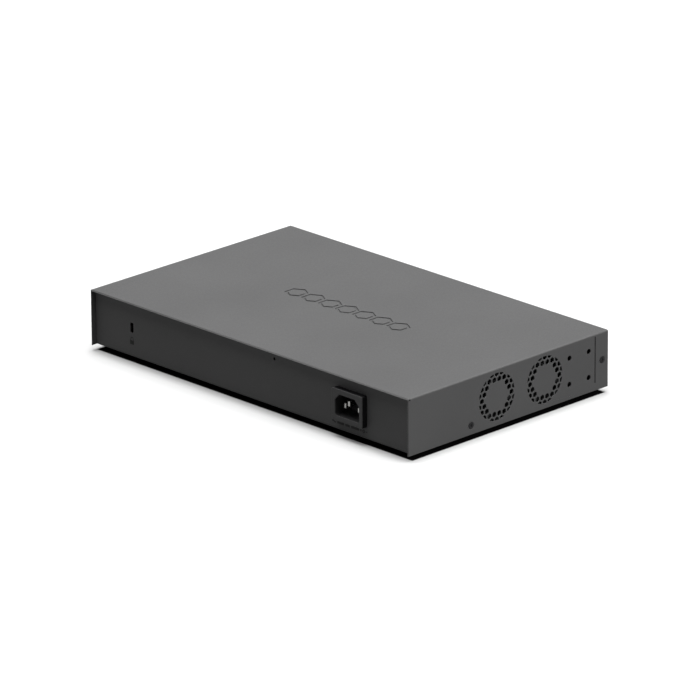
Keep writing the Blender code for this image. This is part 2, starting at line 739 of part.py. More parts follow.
def make_power_insulator():
    """Thin film between the mains board and the steel floor, with holes for the spacers."""
    x0, x1, y0, y1 = POWER_BOARD
    holes = [circle(3.6, x, y, 12) for x, y in board_corners(POWER_BOARD)]
    film = prism("Z", rectangle(x0 + 0.5, x1, y0, y1), FLOOR_TOP + GAP, FLOOR_TOP + 0.7, holes)
    finish(new_object("insulator_sheet", film), (0.6, 0.55, 0.4), 0.5)


def make_transformer():
    """Ferrite core with two windows and the winding round its middle leg."""
    x, y = TRANSFORMER
    half_x, half_y, height = 17.0, 12.0, 26.0
    leg, window_x, window_z = 5.0, 6.0, 16.0
    middle_z = PART_Z + height / 2
    outline = rectangle(x - half_x, x + half_x, PART_Z, PART_Z + height)
    shift = leg + window_x / 2
    windows = [centred(window_x, window_z, x + s * shift, middle_z) for s in (-1, 1)]
    core = prism("Y", outline, y - half_y, y + half_y, windows)
    finish(new_object("transformer_core", core), (0.03, 0.03, 0.035), 0.5)
    inner = centred(2 * (leg + GAP), 2 * (half_y + GAP), x, y)
    turn = window_x - 2 * GAP
    outer = rounded(2 * (leg + GAP + turn), 2 * (half_y + GAP + turn), 3.0, x, y)
    reach = window_z / 2 - GAP
    winding = prism("Z", outer, middle_z - reach, middle_z + reach, [inner])
    finish(new_object("transformer_winding", winding), (0.75, 0.62, 0.12), 0.5)


def make_supply_parts():
    """Capacitors, choke and cooling plates of the mains supply."""
    radius, height = 11.0, 29.0
    for name, y in (("front", 24.0), ("rear", 52.0)):
        top = PART_Z + height
        profile = [(0, PART_Z), (radius - 0.6, PART_Z), (radius, PART_Z + 0.6), (radius, top - 0.6)]
        profile += [(radius - 0.6, top), (radius - 2, top), (radius - 2.4, top - 0.5), (0, top - 0.5)]
        can = new_object(f"bulk_capacitor_{name}", turned("Z", (-46.0, y), profile, 18))
        finish(can, (0.02, 0.03, 0.06), 0.35, smooth=True)
    ring = [(5.0, PART_Z), (12.0, PART_Z), (13.0, PART_Z + 1), (13.0, PART_Z + 11)]
    ring += [(12.0, PART_Z + 12), (5.0, PART_Z + 12), (4.0, PART_Z + 11), (4.0, PART_Z + 1)]
    choke = new_object("line_choke", turned("Z", (-82.0, 32.0), ring, 16, ring=True))
    finish(choke, (0.45, 0.2, 0.06), 0.45, smooth=True)
    block = box(-90.0, -64.0, 48.0, 59.0, PART_Z, PART_Z + 18)
    finish(new_object("filter_capacitor", block), (0.75, 0.6, 0.08), 0.5)
    for name, y in (("primary_heatsink", 10.0), ("secondary_heatsink", 60.0)):
        plate = comb(-34.0, 14.0, y, y + 2, y + 7, 9, 1.4)
        if name == "primary_heatsink":
            plate = [(u - 74.0, v) for u, v in plate]
        finish(new_object(name, prism("Z", plate, PART_Z, PART_Z + 24)), ALUMINIUM, 0.35, 1.0)


def cavity_outline():
    """Inlet cavity: square-shouldered below, with its two upper corners cut off."""
    half_x = INLET_CAVITY[0] / 2
    half_z = INLET_CAVITY[1] / 2
    cut = 4.5
    round_off = 1.6
    x, z = INLET_X, INLET_Z
    outline = arc(x - half_x + round_off, z - half_z + round_off, round_off, 180, 270, 3)
    outline += arc(x + half_x - round_off, z - half_z + round_off, round_off, 270, 360, 3)
    outline += [(x + half_x, z + half_z - cut), (x + half_x - cut, z + half_z)]
    outline += [(x - half_x + cut, z + half_z), (x - half_x, z + half_z - cut)]
    return outline


def pins():
    """Inlet pins as name, x, z and how far the tip lies behind the inlet's face."""
    return (
        ("inlet_pin_line", INLET_X - PIN_SPREAD, LIVE_PIN_Z, 5.0),
        ("inlet_pin_neutral", INLET_X + PIN_SPREAD, LIVE_PIN_Z, 5.0),
        ("inlet_pin_earth", INLET_X, EARTH_PIN_Z, 2.0),
    )


def make_power_inlet():
    """Mains inlet: a black body through the rear panel, its grey face plate and three pins."""
    plate_back = INLET_FACE_Y - 0.6
    flange_front = plate_back - GAP
    flange_back = REAR_Y + GAP
    flange = prism("Y", rounded(*INLET_FLANGE, 1.0, INLET_X, INLET_Z), flange_back, flange_front)
    housing = new_object("power_inlet_housing", flange)
    body = prism("Y", rounded(*INLET_BODY, 0.8, INLET_X, INLET_Z), INLET_BACK_Y, flange_back + 1)
    combine(housing, "UNION", body)
    cavity_back = INLET_FACE_Y - CAVITY_DEPTH
    combine(housing, "DIFFERENCE", prism("Y", cavity_outline(), cavity_back, flange_front + 1))
    slots = []
    for _, x, z, _ in pins():
        slot = centred(PIN_SIZE[0] + 2 * GAP, PIN_SIZE[1] + 2 * GAP, x, z)
        slots.append(prism("Y", slot, INLET_BACK_Y - 1, cavity_back + 1))
    combine(housing, "DIFFERENCE", *slots)
    finish(housing, PLASTIC_BLACK, 0.45)
    face = rounded(*INLET_FLANGE, 1.0, INLET_X, INLET_Z)
    plate = prism("Y", face, plate_back, INLET_FACE_Y, [cavity_outline()])
    finish(new_object("inlet_faceplate", plate), STEEL_GREY, 0.55)
    for name, x, z, tip_depth in pins():
        blade = prism("Y", centred(*PIN_SIZE, x, z), INLET_BACK_Y - 8, INLET_FACE_Y - tip_depth)
        finish(new_object(name, blade), TIN, 0.25, 1.0)


# ---------------------------------------------------------------- wiring

def smooth_route(points, spacing):
    """Evenly spaced points on a smooth curve through a route's own points."""
    route = [Vector(p) for p in points]
    ends = [2 * route[0] - route[1], *route, 2 * route[-1] - route[-2]]
    fine = []
    for before, start, end, after in zip(ends, ends[1:], ends[2:], ends[3:]):
        for i in range(20):
            t = i / 20
            bend = 2 * start + (end - before) * t
            bend += (2 * before - 5 * start + 4 * end - after) * t ** 2
            bend += (3 * start - before - 3 * end + after) * t ** 3
            fine.append(bend / 2)
    fine.append(route[-1])
    lengths = [0.0]
    for a, b in zip(fine, fine[1:]):
        lengths.append(lengths[-1] + (b - a).length)
    count = max(4, round(lengths[-1] / spacing))
    result = []
    for i in range(count + 1):
        goal = lengths[-1] * i / count
        at = next(k for k, length in enumerate(lengths) if length >= goal - 1e-6)
        result.append(fine[at])
    return result


def make_wire(name, route, radius, colour):
    """A round wire or sleeved bundle along a smooth route."""
    points = smooth_route(route, radius * 5)
    start, after, before, end = (Vector(route[i]) for i in (0, 1, -2, -1))
    points.insert(1, start + (after - start).normalized() * radius)
    points.insert(-1, end + (before - end).normalized() * radius)
    curve = bpy.data.curves.new(name, "CURVE")
    curve.dimensions = "3D"
    curve.bevel_depth = radius * MM
    curve.bevel_resolution = 2
    curve.use_fill_caps = True
    spline = curve.splines.new("POLY")
    spline.points.add(len(points) - 1)
    for target, point in zip(spline.points, points):
        target.co = (*(point * MM), 1.0)
    wire = bpy.data.objects.new(name, curve)
    bpy.context.collection.objects.link(wire)
    material = bpy.data.materials.new(name)
    material.use_nodes = True
    shader = material.node_tree.nodes["Principled BSDF"]
    shader.inputs["Base Color"].default_value = (*colour, 1.0)
    shader.inputs["Roughness"].default_value = 0.5
    curve.materials.append(material)


def make_mains_wires():
    """Line and neutral from the inlet to the supply, and earth to the stud on the floor."""
    tail = INLET_BACK_Y - 8 - GAP
    header_y = (MAINS_HEADER[2] + MAINS_HEADER[3]) / 2
    end_z = HEADER_TOP + GAP
    live = (("line", -PIN_SPREAD, -4.0, (0.09, 0.03, 0.01)), ("neutral", PIN_SPREAD, 4.0, (0.02, 0.06, 0.3)))
    middle = (MAINS_HEADER[0] + MAINS_HEADER[1]) / 2
    for name, shift, drop, colour in live:
        x = INLET_X + shift
        end_x = middle + drop
        route = [(x, tail, LIVE_PIN_Z), (x, tail - 4, LIVE_PIN_Z)]
        route += [((x + end_x) / 2, header_y + 5, end_z + 15), (end_x, header_y, end_z + 7)]
        route += [(end_x, header_y, end_z)]
        make_wire(f"mains_{name}_wire", route, WIRE_RADIUS, colour)
    stud_x, stud_y = EARTH_STUD
    stud_z = FLOOR_TOP + 7 + GAP
    route = [(INLET_X, tail, EARTH_PIN_Z), (INLET_X, tail - 3, EARTH_PIN_Z)]
    route += [(INLET_X + 5, tail - 4, EARTH_PIN_Z + 8), (INLET_X + 16, tail + 3, EARTH_PIN_Z + 12)]
    route += [(stud_x, stud_y - 2, stud_z + 12), (stud_x, stud_y, stud_z + 4), (stud_x, stud_y, stud_z)]
    make_wire("mains_earth_wire", route, WIRE_RADIUS, (0.05, 0.22, 0.04))


def make_output_harness():
    """Low-voltage bundle that bridges from the supply to the main board."""
    x = (OUTPUT_HEADER[0] + OUTPUT_HEADER[1]) / 2
    start_y = (OUTPUT_HEADER[2] + OUTPUT_HEADER[3]) / 2
    end_y = (POWER_HEADER[2] + POWER_HEADER[3]) / 2
    low = HEADER_TOP + GAP
    rise = low + 14
    middle = (start_y + end_y) / 2
    route = [(x, start_y, low), (x, start_y, low + 6), (x, middle + 6, rise)]
    route += [(x, middle - 6, rise), (x, end_y, low + 6), (x, end_y, low)]
    make_wire("output_harness", route, 2.6, (0.3, 0.02, 0.02))


def make_fan_cables():
    """Fan leads from the gap between the two frames to their shared header."""
    half = FAN_SIZE / 2
    header_x = (FAN_HEADER[0] + FAN_HEADER[1]) / 2
    header_y = (FAN_HEADER[2] + FAN_HEADER[3]) / 2
    low = HEADER_TOP + GAP
    lane = (FAN_CENTRES_Y[0] + FAN_CENTRES_Y[1]) / 2
    leads = (
        ("front", FAN_CENTRES_Y[0] + half + GAP, -1.4, 30.0, -3.0),
        ("rear", FAN_CENTRES_Y[1] - half - GAP, 1.4, 37.0, 3.0),
    )
    for name, start_y, side, z, shift in leads:
        y = lane + side
        route = [(FAN_IN_X - 8, start_y, z), (FAN_IN_X - 8, y, z), (FAN_IN_X + 2, y, z)]
        route += [(FAN_IN_X + 14, y - 3, z - 1), (header_x + shift, header_y + 3, low + 8)]
        route += [(header_x + shift, header_y, low)]
        make_wire(f"fan_cable_{name}", route, 0.9, (0.02, 0.02, 0.02))


# ---------------------------------------------------------------- fans

def make_fan_frame(name, y):
    """Square fan frame with its bore, four struts, motor base and bearing tube."""
    half_pitch = FAN_HOLE_PITCH / 2
    corners = [(y + a * half_pitch, FAN_Z + b * half_pitch) for a in (-1, 1) for b in (-1, 1)]
    holes = [circle(FAN_BORE, y, FAN_Z, 32)]
    holes += [circle(1.7, u, v, 8) for u, v in corners]
    outline = rounded(FAN_SIZE, FAN_SIZE, 2.5, y, FAN_Z)
    frame = new_object(name, prism("X", outline, FAN_OUT_X, FAN_IN_X, holes))
    base = FAN_OUT_X + 0.3
    profile = [(0, base), (HUB_RADIUS, base), (HUB_RADIUS, base + 2), (3.2, base + 2)]
    profile += [(3.2, FAN_IN_X - 6), (1.3, FAN_IN_X - 6), (1.3, base + 1.2), (0, base + 1.2)]
    struts = []
    reach = FAN_BORE + 0.6
    for angle in (20, 110, 200, 290):
        turn = math.radians(angle)
        along = (math.cos(turn), math.sin(turn))
        across = (-along[1], along[0])
        bar = [(HUB_RADIUS - 1.5, -1.1), (reach, -1.1), (reach, 1.1), (HUB_RADIUS - 1.5, 1.1)]
        outline = [(y + a * along[0] + b * across[0], FAN_Z + a * along[1] + b * across[1]) for a, b in bar]
        struts.append(prism("X", outline, base + 0.2, base + 1.7))
    combine(frame, "UNION", *struts)
    combine(frame, "UNION", turned("X", (y, FAN_Z), profile, 24))
    finish(frame, PLASTIC_BLACK, 0.5)


def blade(y, turn):
    """One twisted fan blade, a curved plate from inside the hub wall to the tip."""
    middle_x = FAN_OUT_X + 10.8
    chord = 14.0
    thickness = 1.0
    chord_steps = 3
    bm = bmesh.new()
    rows = []
    for radius, pitch in ((HUB_RADIUS - 0.7, 48.0), (14.4, 42.0), (BLADE_TIP, 36.0)):
        slope = math.radians(pitch)
        rim = []
        for face in (1, -1):
            for i in range(chord_steps + 1):
                part = face * (i / chord_steps - 0.5)
                bow = 1.6 * (0.25 - part ** 2) + face * thickness / 2
                across = part * chord * math.cos(slope) - bow * math.sin(slope)
                along = part * chord * math.sin(slope) + bow * math.cos(slope)
                angle = turn + across / radius
                point = (middle_x + along, y + radius * math.cos(angle), FAN_Z + radius * math.sin(angle))
                rim.append(bm.verts.new(point))
        rows.append(rim)
    for low, high in zip(rows, rows[1:]):
        for i in range(len(low)):
            bm.faces.new((low[i - 1], low[i], high[i], high[i - 1]))
    bm.faces.new(rows[0])
    bm.faces.new(rows[-1])
    bmesh.ops.triangulate(bm, faces=bm.faces[:])
    bmesh.ops.recalc_face_normals(bm, faces=bm.faces[:])
    return bm


def make_fan_impeller(name, y):
    """Rotor: a hub cup with its shaft and seven blades, turning about the fan's own axis."""
    open_end = FAN_OUT_X + 3.0
    closed_end = FAN_IN_X - 1.2
    wall = 1.4
    shaft = 1.0
    shaft_end = FAN_OUT_X + 2.4
    profile = [(0, closed_end), (HUB_RADIUS - 1, closed_end), (HUB_RADIUS, closed_end - 1)]
    profile += [(HUB_RADIUS, open_end), (HUB_RADIUS - wall, open_end), (HUB_RADIUS - wall, closed_end - wall)]
    profile += [(shaft, closed_end - wall), (shaft, shaft_end), (0, shaft_end)]
    rotor = new_object(name, turned("X", (y, FAN_Z), profile, 24))
    turns = [2 * math.pi * i / BLADE_COUNT for i in range(BLADE_COUNT)]
    combine(rotor, "UNION", *[blade(y, turn) for turn in turns])
    middle = (FAN_OUT_X + FAN_IN_X) / 2
    finish(rotor, PLASTIC_BLACK, 0.4, smooth=True, origin=(middle, y, FAN_Z))


def make_fan_stator(name, y):
    """Four-pole motor core round the bearing tube, inside the hub cup."""
    outline = []
    for pole in range(4):
        facing = 90.0 * pole
        outline += arc(y, FAN_Z, 8.6, facing - 30, facing + 30, 4)
        slot = math.radians(facing + 45)
        outline.append((y + 5.2 * math.cos(slot), FAN_Z + 5.2 * math.sin(slot)))
    bore = circle(3.2 + GAP, y, FAN_Z, 16)
    stator = prism("X", outline, FAN_OUT_X + 4.5, FAN_IN_X - 6.5, [bore])
    finish(new_object(name, stator), (0.3, 0.14, 0.06), 0.4, 0.6)


def make_fan_bracket():
    """Upright steel plate that carries both fans, with a foot on the floor."""
    x0 = FAN_IN_X + GAP
    x1 = x0 + SHEET
    front = FAN_CENTRES_Y[0] - FAN_SIZE / 2
    rear = FAN_CENTRES_Y[1] + FAN_SIZE / 2
    lane = (FAN_CENTRES_Y[0] + FAN_CENTRES_Y[1]) / 2
    low = FLOOR_TOP + GAP
    top = PANEL_TOP - 0.6
    notch = 3.2
    notch_z = FAN_Z + 1
    outline = [(front, low), (rear, low), (rear, top), (lane + notch, top), (lane + notch, notch_z)]
    outline += [(lane - notch, notch_z), (lane - notch, top), (front, top)]
    holes = []
    for y in FAN_CENTRES_Y:
        holes.append(circle(FAN_BORE - 0.8, y, FAN_Z, 24))
        half = FAN_HOLE_PITCH / 2
        holes += [circle(1.7, y + a * half, FAN_Z + b * half, 8) for a in (-1, 1) for b in (-1, 1)]
    bracket = new_object("fan_bracket", prism("X", outline, x0, x1, holes))
    foot = box(x0 + SHEET / 2, x1 + 9, front + 4, rear - 4, low + 0.2, low + 0.2 + SHEET)
    combine(bracket, "UNION", foot)
    finish(bracket, ZINC, 0.4, 1.0)


def clear_scene():
    """Remove what the scene starts with."""
    for old in list(bpy.data.objects):
        bpy.data.objects.remove(old)


def build():
    """Make every piece of the switch."""
    clear_scene()
    make_top_cover()
    make_chassis_tray()
    make_front_panel()
    make_feet()
    make_cover_screws()
    make_board("main_board", MAIN_BOARD)
    make_port_block()
    make_cages()
    make_light_pipes()
    make_buttons()
    make_chips()
    make_board("power_supply_board", POWER_BOARD)
    make_headers()
    make_power_insulator()
    make_transformer()
    make_supply_parts()
    make_power_inlet()
    make_mains_wires()
    make_output_harness()
    make_fan_cables()
    for name, y in zip(("front", "rear"), FAN_CENTRES_Y):
        make_fan_frame(f"fan_frame_{name}", y)
        make_fan_impeller(f"fan_impeller_{name}", y)
        make_fan_stator(f"fan_stator_{name}", y)
    make_fan_bracket()


build()
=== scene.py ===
"""Looks of the compact one-unit rack network switch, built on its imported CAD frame.

Places and shapes are written in millimetres, and the sizes of a material's features in metres.
The origin is at floor level under the middle of the case: the ports face -Y, the mains inlet
faces +Y, the fans blow out through the -X wall.
"""
import json
import math

import bmesh
import bpy
from mathutils import Matrix, Vector


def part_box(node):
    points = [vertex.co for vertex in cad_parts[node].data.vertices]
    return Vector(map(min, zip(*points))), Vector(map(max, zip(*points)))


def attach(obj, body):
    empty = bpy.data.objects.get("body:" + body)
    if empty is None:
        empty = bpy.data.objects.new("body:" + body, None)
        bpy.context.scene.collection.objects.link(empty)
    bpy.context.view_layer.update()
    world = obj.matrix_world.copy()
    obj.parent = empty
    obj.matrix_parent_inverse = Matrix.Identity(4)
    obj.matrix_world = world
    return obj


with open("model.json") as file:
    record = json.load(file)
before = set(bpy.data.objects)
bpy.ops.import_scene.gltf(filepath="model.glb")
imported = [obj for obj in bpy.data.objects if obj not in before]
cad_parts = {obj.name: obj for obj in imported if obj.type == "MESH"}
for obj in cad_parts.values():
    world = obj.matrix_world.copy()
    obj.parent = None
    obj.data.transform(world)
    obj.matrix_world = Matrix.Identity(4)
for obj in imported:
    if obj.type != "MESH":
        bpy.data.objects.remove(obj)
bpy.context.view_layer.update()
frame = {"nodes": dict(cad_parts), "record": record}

MM = 0.001
X, Y, Z = 0, 1, 2
NODES = frame["nodes"]


# ---------------------------------------------------------------- places taken from the CAD

def box_mm(node):
    """Lowest and highest corner of a CAD node, in millimetres."""
    low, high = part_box(node)
    return [c / MM for c in low], [c / MM for c in high]


COVER_LOW, COVER_HIGH = box_mm("top_cover")
TRAY_LOW, TRAY_HIGH = box_mm("chassis_tray")
SHIELD_LOW, SHIELD_HIGH = box_mm("port_shield")
INLET_LOW, INLET_HIGH = box_mm("inlet_faceplate")
REAR_Y = TRAY_HIGH[Y]
FRONT_Y = box_mm("front_panel")[0][Y]
SOCKETS_Y = box_mm("port_housing")[0][Y]
PORT_MIDDLE_X = (SHIELD_LOW[X] + SHIELD_HIGH[X]) / 2
PORT_MIDDLE_Z = (SHIELD_LOW[Z] + SHIELD_HIGH[Z]) / 2
PORT_PITCH = 14.0
PORT_COLUMNS = 4
PORT_XS = [PORT_MIDDLE_X + (i - (PORT_COLUMNS - 1) / 2) * PORT_PITCH for i in range(PORT_COLUMNS)]
MODULE_CAGES = ("module_cage_left", "module_cage_right")
INLET_X = (INLET_LOW[X] + INLET_HIGH[X]) / 2
INLET_Z = (INLET_LOW[Z] + INLET_HIGH[Z]) / 2
CAVITY_REACH = (13.5, 9.5)      # from the inlet's middle, just past its cavity
LIP_HEIGHT = 1.1                # a little more than the lid's thickness
LIP_REACHES = (0.6, 0.1)        # how far in from the rear edge its chamfer and its cut face lie


# ---------------------------------------------------------------- materials

WAVE_PERIOD = 0.314             # of Blender's wave bands at scale 1, in metres
MIX_A, MIX_B, MIX_RESULT = 6, 7, 2      # the Mix node's sockets for colours


def shade(colour, factor):
    """A colour made darker or lighter, kept within 1."""
    return tuple(min(1.0, c * factor) for c in colour)


class Paint:
    """A Principled material whose colour, roughness and relief come from procedural nodes."""

    def __init__(self, name, stretch=(1, 1, 1), **sockets):
        self.material = bpy.data.materials.new(name)
        self.material.use_nodes = True
        self.tree = self.material.node_tree
        self.tree.nodes.clear()
        output = self.node("OutputMaterial")
        self.shader = self.node("BsdfPrincipled")
        self.tree.links.new(self.shader.outputs[0], output.inputs[0])
        for socket, value in sockets.items():
            self.shader.inputs[socket.replace("_", " ")].default_value = value
        self.coords = self.node("TexCoord").outputs["Object"]
        if stretch != (1, 1, 1):
            mapping = self.node("Mapping")
            mapping.inputs["Scale"].default_value = stretch
            self.tree.links.new(self.coords, mapping.inputs["Vector"])
            self.coords = mapping.outputs[0]
        self.normal = None

    def node(self, kind, **settings):
        made = self.tree.nodes.new("ShaderNode" + kind)
        for key, value in settings.items():
            setattr(made, key, value)
        return made

    def feed(self, node, socket, source):
        """Links a socket to an output, or sets it to a value."""
        if isinstance(source, bpy.types.NodeSocket):
            self.tree.links.new(source, node.inputs[socket])
        else:
            node.inputs[socket].default_value = source

    def noise(self, size, detail=2.0, distortion=0.0):
        """Noise whose features are about size metres across."""
        made = self.node("TexNoise")
        made.inputs["Scale"].default_value = 1.0 / size
        made.inputs["Detail"].default_value = detail
        made.inputs["Distortion"].default_value = distortion
        self.tree.links.new(self.coords, made.inputs["Vector"])
        return made.outputs["Fac"]

    def cells(self, size):
        """Distance field of cells about size metres across."""
        made = self.node("TexVoronoi")
        made.inputs["Scale"].default_value = 1.0 / size
        self.tree.links.new(self.coords, made.inputs["Vector"])
        return made.outputs["Distance"]

    def waves(self, size, direction="X", distortion=0.0):
        """Parallel bands about size metres apart."""
        made = self.node("TexWave", bands_direction=direction)
        made.inputs["Scale"].default_value = WAVE_PERIOD / size
        made.inputs["Distortion"].default_value = distortion
        self.tree.links.new(self.coords, made.inputs["Vector"])
        return made.outputs["Fac"]

    def ramp(self, factor, stops):
        """Colours or greys along a factor."""
        made = self.node("ValToRGB")
        elements = made.color_ramp.elements
        while len(elements) < len(stops):
            elements.new(0.5)
        for element, (place, value) in zip(elements, stops):
            element.position = place
            element.color = (*value, 1) if hasattr(value, "__len__") else (value,) * 3 + (1,)
        self.feed(made, "Fac", factor)
        return made.outputs["Color"]

    def span(self, factor, low, high, start=0.3, end=0.7):
        """A factor remapped to a range of values."""
        made = self.node("MapRange")
        self.feed(made, "Value", factor)
        limits = {"From Min": start, "From Max": end, "To Min": low, "To Max": high}
        for socket, value in limits.items():
            made.inputs[socket].default_value = value
        return made.outputs[0]

    def mix(self, factor, a, b):
        """One colour blended into another."""
        made = self.node("Mix", data_type="RGBA")
        self.feed(made, 0, factor)
        for index, source in ((MIX_A, a), (MIX_B, b)):
            self.feed(made, index, (*source, 1) if isinstance(source, tuple) else source)
        return made.outputs[MIX_RESULT]

    def calculate(self, operation, a, b):
        """The result of a Math node on two factors."""
        made = self.node("Math", operation=operation)
        self.feed(made, 0, a)
        self.feed(made, 1, b)
        return made.outputs[0]

    def off_middle(self, axis, middle):
        """Distance along an axis from a place on it, both in metres."""
        parts = self.node("SeparateXYZ")
        self.tree.links.new(self.coords, parts.inputs[0])
        offset = self.calculate("SUBTRACT", parts.outputs[axis], middle)
        return self.calculate("ABSOLUTE", offset, 0.0)

    def within(self, *reaches):
        """1 near all the places given as (axis, place, reach in millimetres), 0 elsewhere."""
        near = [self.calculate("LESS_THAN", self.off_middle(axis, place * MM), reach * MM)
                for axis, place, reach in reaches]
        return self.calculate("MULTIPLY", *near)

    def colour(self, source):
        self.tree.links.new(source, self.shader.inputs["Base Color"])

    def roughness(self, source):
        self.tree.links.new(source, self.shader.inputs["Roughness"])

    def relief(self, height, depth, strength=1.0):
        """Adds bump of about depth metres."""
        made = self.node("Bump")
        made.inputs["Strength"].default_value = strength
        made.inputs["Distance"].default_value = depth
        self.tree.links.new(height, made.inputs["Height"])
        if self.normal is not None:
            self.tree.links.new(self.normal, made.inputs["Normal"])
        self.normal = made.outputs[0]
        self.tree.links.new(self.normal, self.shader.inputs["Normal"])

    def rounded(self, radius):
        """Shades edges as if rounded to a radius; comes before any relief."""
        self.normal = self.node("Bevel", samples=6).outputs[0]
        self.normal.node.inputs["Radius"].default_value = radius
        self.tree.links.new(self.normal, self.shader.inputs["Normal"])

    def edges(self, radius):
        """1 on outside and inside edges, 0 on flats."""
        rounded = self.node("Bevel", samples=4)
        rounded.inputs["Radius"].default_value = radius
        facing = self.node("NewGeometry")
        dot = self.node("VectorMath", operation="DOT_PRODUCT")
        self.tree.links.new(rounded.outputs[0], dot.inputs[0])
        self.tree.links.new(facing.outputs["Normal"], dot.inputs[1])
        return self.span(dot.outputs["Value"], 1.0, 0.0, 0.86, 0.995)


def powder_coat(name, colour, worn_and_highlit, roughness=0.5, lip_shade_and_highlight=None):
    """Fine-textured satin powder coat: orange-peel grain, faint tone drift, and paler edges that are
    partly rubbed wear and partly painted highlight.

    The lip colours paint the lid's rear edge: painted shade on its chamfer and a painted highlight on
    the cut face below that.
    """
    paint = Paint(name, Specular_IOR_Level=0.05)
    drift = paint.noise(0.06, 3.0)
    speckle = paint.noise(0.00045, 2.0)
    ends = [(0.35, shade(colour, 0.96)), (0.65, shade(colour, 1.05))]
    base = paint.ramp(paint.mix(0.35, drift, speckle), ends)
    edges = paint.edges(0.0003)
    # paler edges: partly rubbed wear, partly painted highlight
    rubbed_and_highlit = paint.calculate("MULTIPLY", edges, paint.span(paint.noise(0.004, 4.0), 0.0, 0.6))
    tone = paint.mix(rubbed_and_highlit, base, worn_and_highlit)
    # the lid's rear edge: painted shade on its chamfer, a painted highlight on its cut face
    if lip_shade_and_highlight:
        for reach, painted_lip_tone in zip(LIP_REACHES, lip_shade_and_highlight):
            at_edge = paint.within((Y, COVER_HIGH[Y], reach), (Z, COVER_HIGH[Z], LIP_HEIGHT))
            tone = paint.mix(at_edge, tone, painted_lip_tone)
    paint.colour(tone)
    paint.roughness(paint.span(paint.noise(0.0009, 2.0), roughness - 0.05, roughness + 0.07))
    paint.rounded(0.0006)
    paint.relief(paint.noise(0.0007, 2.0), 0.00005, 0.35)
    paint.relief(paint.noise(0.00025, 1.0), 0.00002, 0.3)
    return paint.material


def moulded(name, colour, roughness=0.42, grain=0.0004, depth=0.00002, **sockets):
    """Moulded plastic: spark-eroded grain and slight flow marks."""
    paint = Paint(name, **sockets)
    flow = paint.noise(0.012, 2.0, 0.6)
    paint.colour(paint.ramp(flow, [(0.3, shade(colour, 0.88)), (0.7, shade(colour, 1.1))]))
    paint.roughness(paint.span(paint.noise(grain * 3, 2.0), roughness - 0.06, roughness + 0.08))
    paint.relief(paint.noise(grain, 1.0), depth, 0.4)
    return paint.material


def metal(name, colour, roughness=0.3, stretch=(1, 1, 1), streak=0.0006, depth=0.000008):
    """Bare or plated metal with fine drawing lines, smudges and slightly varied tone."""
    paint = Paint(name, stretch, Metallic=1.0)
    lines = paint.noise(streak, 3.0)
    smudge = paint.noise(0.01, 3.0)
    tone = paint.mix(0.5, lines, smudge)
    paint.colour(paint.ramp(tone, [(0.3, shade(colour, 0.8)), (0.7, shade(colour, 1.1))]))
    paint.roughness(paint.span(tone, roughness - 0.08, roughness + 0.12))
    paint.relief(lines, depth, 0.5)
    return paint.material


def rubber(name, colour, roughness=0.75):
    """Moulded rubber: dull, dusty in patches, with a fine pebble."""
    paint = Paint(name, Specular_IOR_Level=0.35)
    dust = paint.noise(0.006, 4.0)
    dusty = tuple(c * 1.7 + 0.004 for c in colour)
    paint.colour(paint.ramp(dust, [(0.35, colour), (0.75, dusty)]))
    paint.roughness(paint.span(dust, roughness - 0.08, roughness + 0.1))
    paint.relief(paint.cells(0.0006), 0.00004, 0.4)
    return paint.material


def laminate(name):
    """Green solder resist over copper tracks."""
    paint = Paint(name, Coat_Weight=0.3, Coat_Roughness=0.2)
    tracks = paint.calculate("GREATER_THAN", paint.waves(0.0016, "X", 6.0), 0.62)
    base = paint.mix(tracks, (0.008, 0.075, 0.028), (0.02, 0.16, 0.06))
    paint.colour(paint.mix(paint.span(paint.noise(0.02), 0.0, 0.3), base, (0.012, 0.10, 0.04)))
    paint.roughness(paint.span(paint.noise(0.002), 0.32, 0.45))
    paint.relief(tracks, 0.00003, 0.5)
    return paint.material


def frosted(name):
    """Clear light guide with frosted faces."""
    paint = Paint(name, Transmission_Weight=0.55, IOR=1.49)
    haze = paint.noise(0.0008, 2.0)
    paint.colour(paint.ramp(haze, [(0.3, (0.62, 0.68, 0.70)), (0.7, (0.82, 0.87, 0.88))]))
    paint.roughness(paint.span(haze, 0.28, 0.45))
    paint.relief(haze, 0.00002, 0.3)
    return paint.material


def inlet_moulding(name, colour, cavity_painted_light):
    """Black inlet body whose cavity is painted paler than its outside, as painted light where little
    light reaches.
    """
    paint = Paint(name, Specular_IOR_Level=0.03)
    # the cavity is painted paler than the outside: painted light where little light reaches
    cavity = paint.within((X, INLET_X, CAVITY_REACH[0]), (Z, INLET_Z, CAVITY_REACH[1]))
    flow = paint.noise(0.012, 2.0, 0.6)
    tone = paint.mix(cavity, colour, cavity_painted_light)
    paint.colour(paint.mix(paint.span(flow, 0.0, 0.2), tone, shade(colour, 0.7)))
    paint.roughness(paint.span(paint.noise(0.0012, 2.0), 0.54, 0.68))
    paint.relief(paint.noise(0.0004, 1.0), 0.00002, 0.4)
    return paint.material


def wound(name, colour, pitch, direction="Z", roughness=0.4, **sockets):
    """Turns of tape or wire lying side by side, with painted shade between turns and a painted
    highlight on their crests.
    """
    paint = Paint(name, **sockets)
    turns = paint.waves(pitch, direction, 0.4)
    # dark troughs are painted shade between turns, pale crests a painted highlight
    stops = [(0.0, shade(colour, 0.55)), (0.35, colour), (1.0, shade(colour, 1.12))]
    paint.colour(paint.ramp(turns, stops))
    paint.roughness(paint.span(paint.noise(0.002), roughness - 0.07, roughness + 0.08))
    paint.relief(turns, 0.00015, 0.5)
    return paint.material


def ink(name, colour):
    """Screen-printed ink: matte, with a slightly uneven edge and density."""
    paint = Paint(name, Specular_IOR_Level=0.08)
    density = paint.noise(0.0012, 3.0)
    paint.colour(paint.ramp(density, [(0.3, shade(colour, 0.85)), (0.65, colour)]))
    paint.roughness(paint.span(density, 0.55, 0.7))
    paint.relief(density, 0.00001, 0.3)
    return paint.material
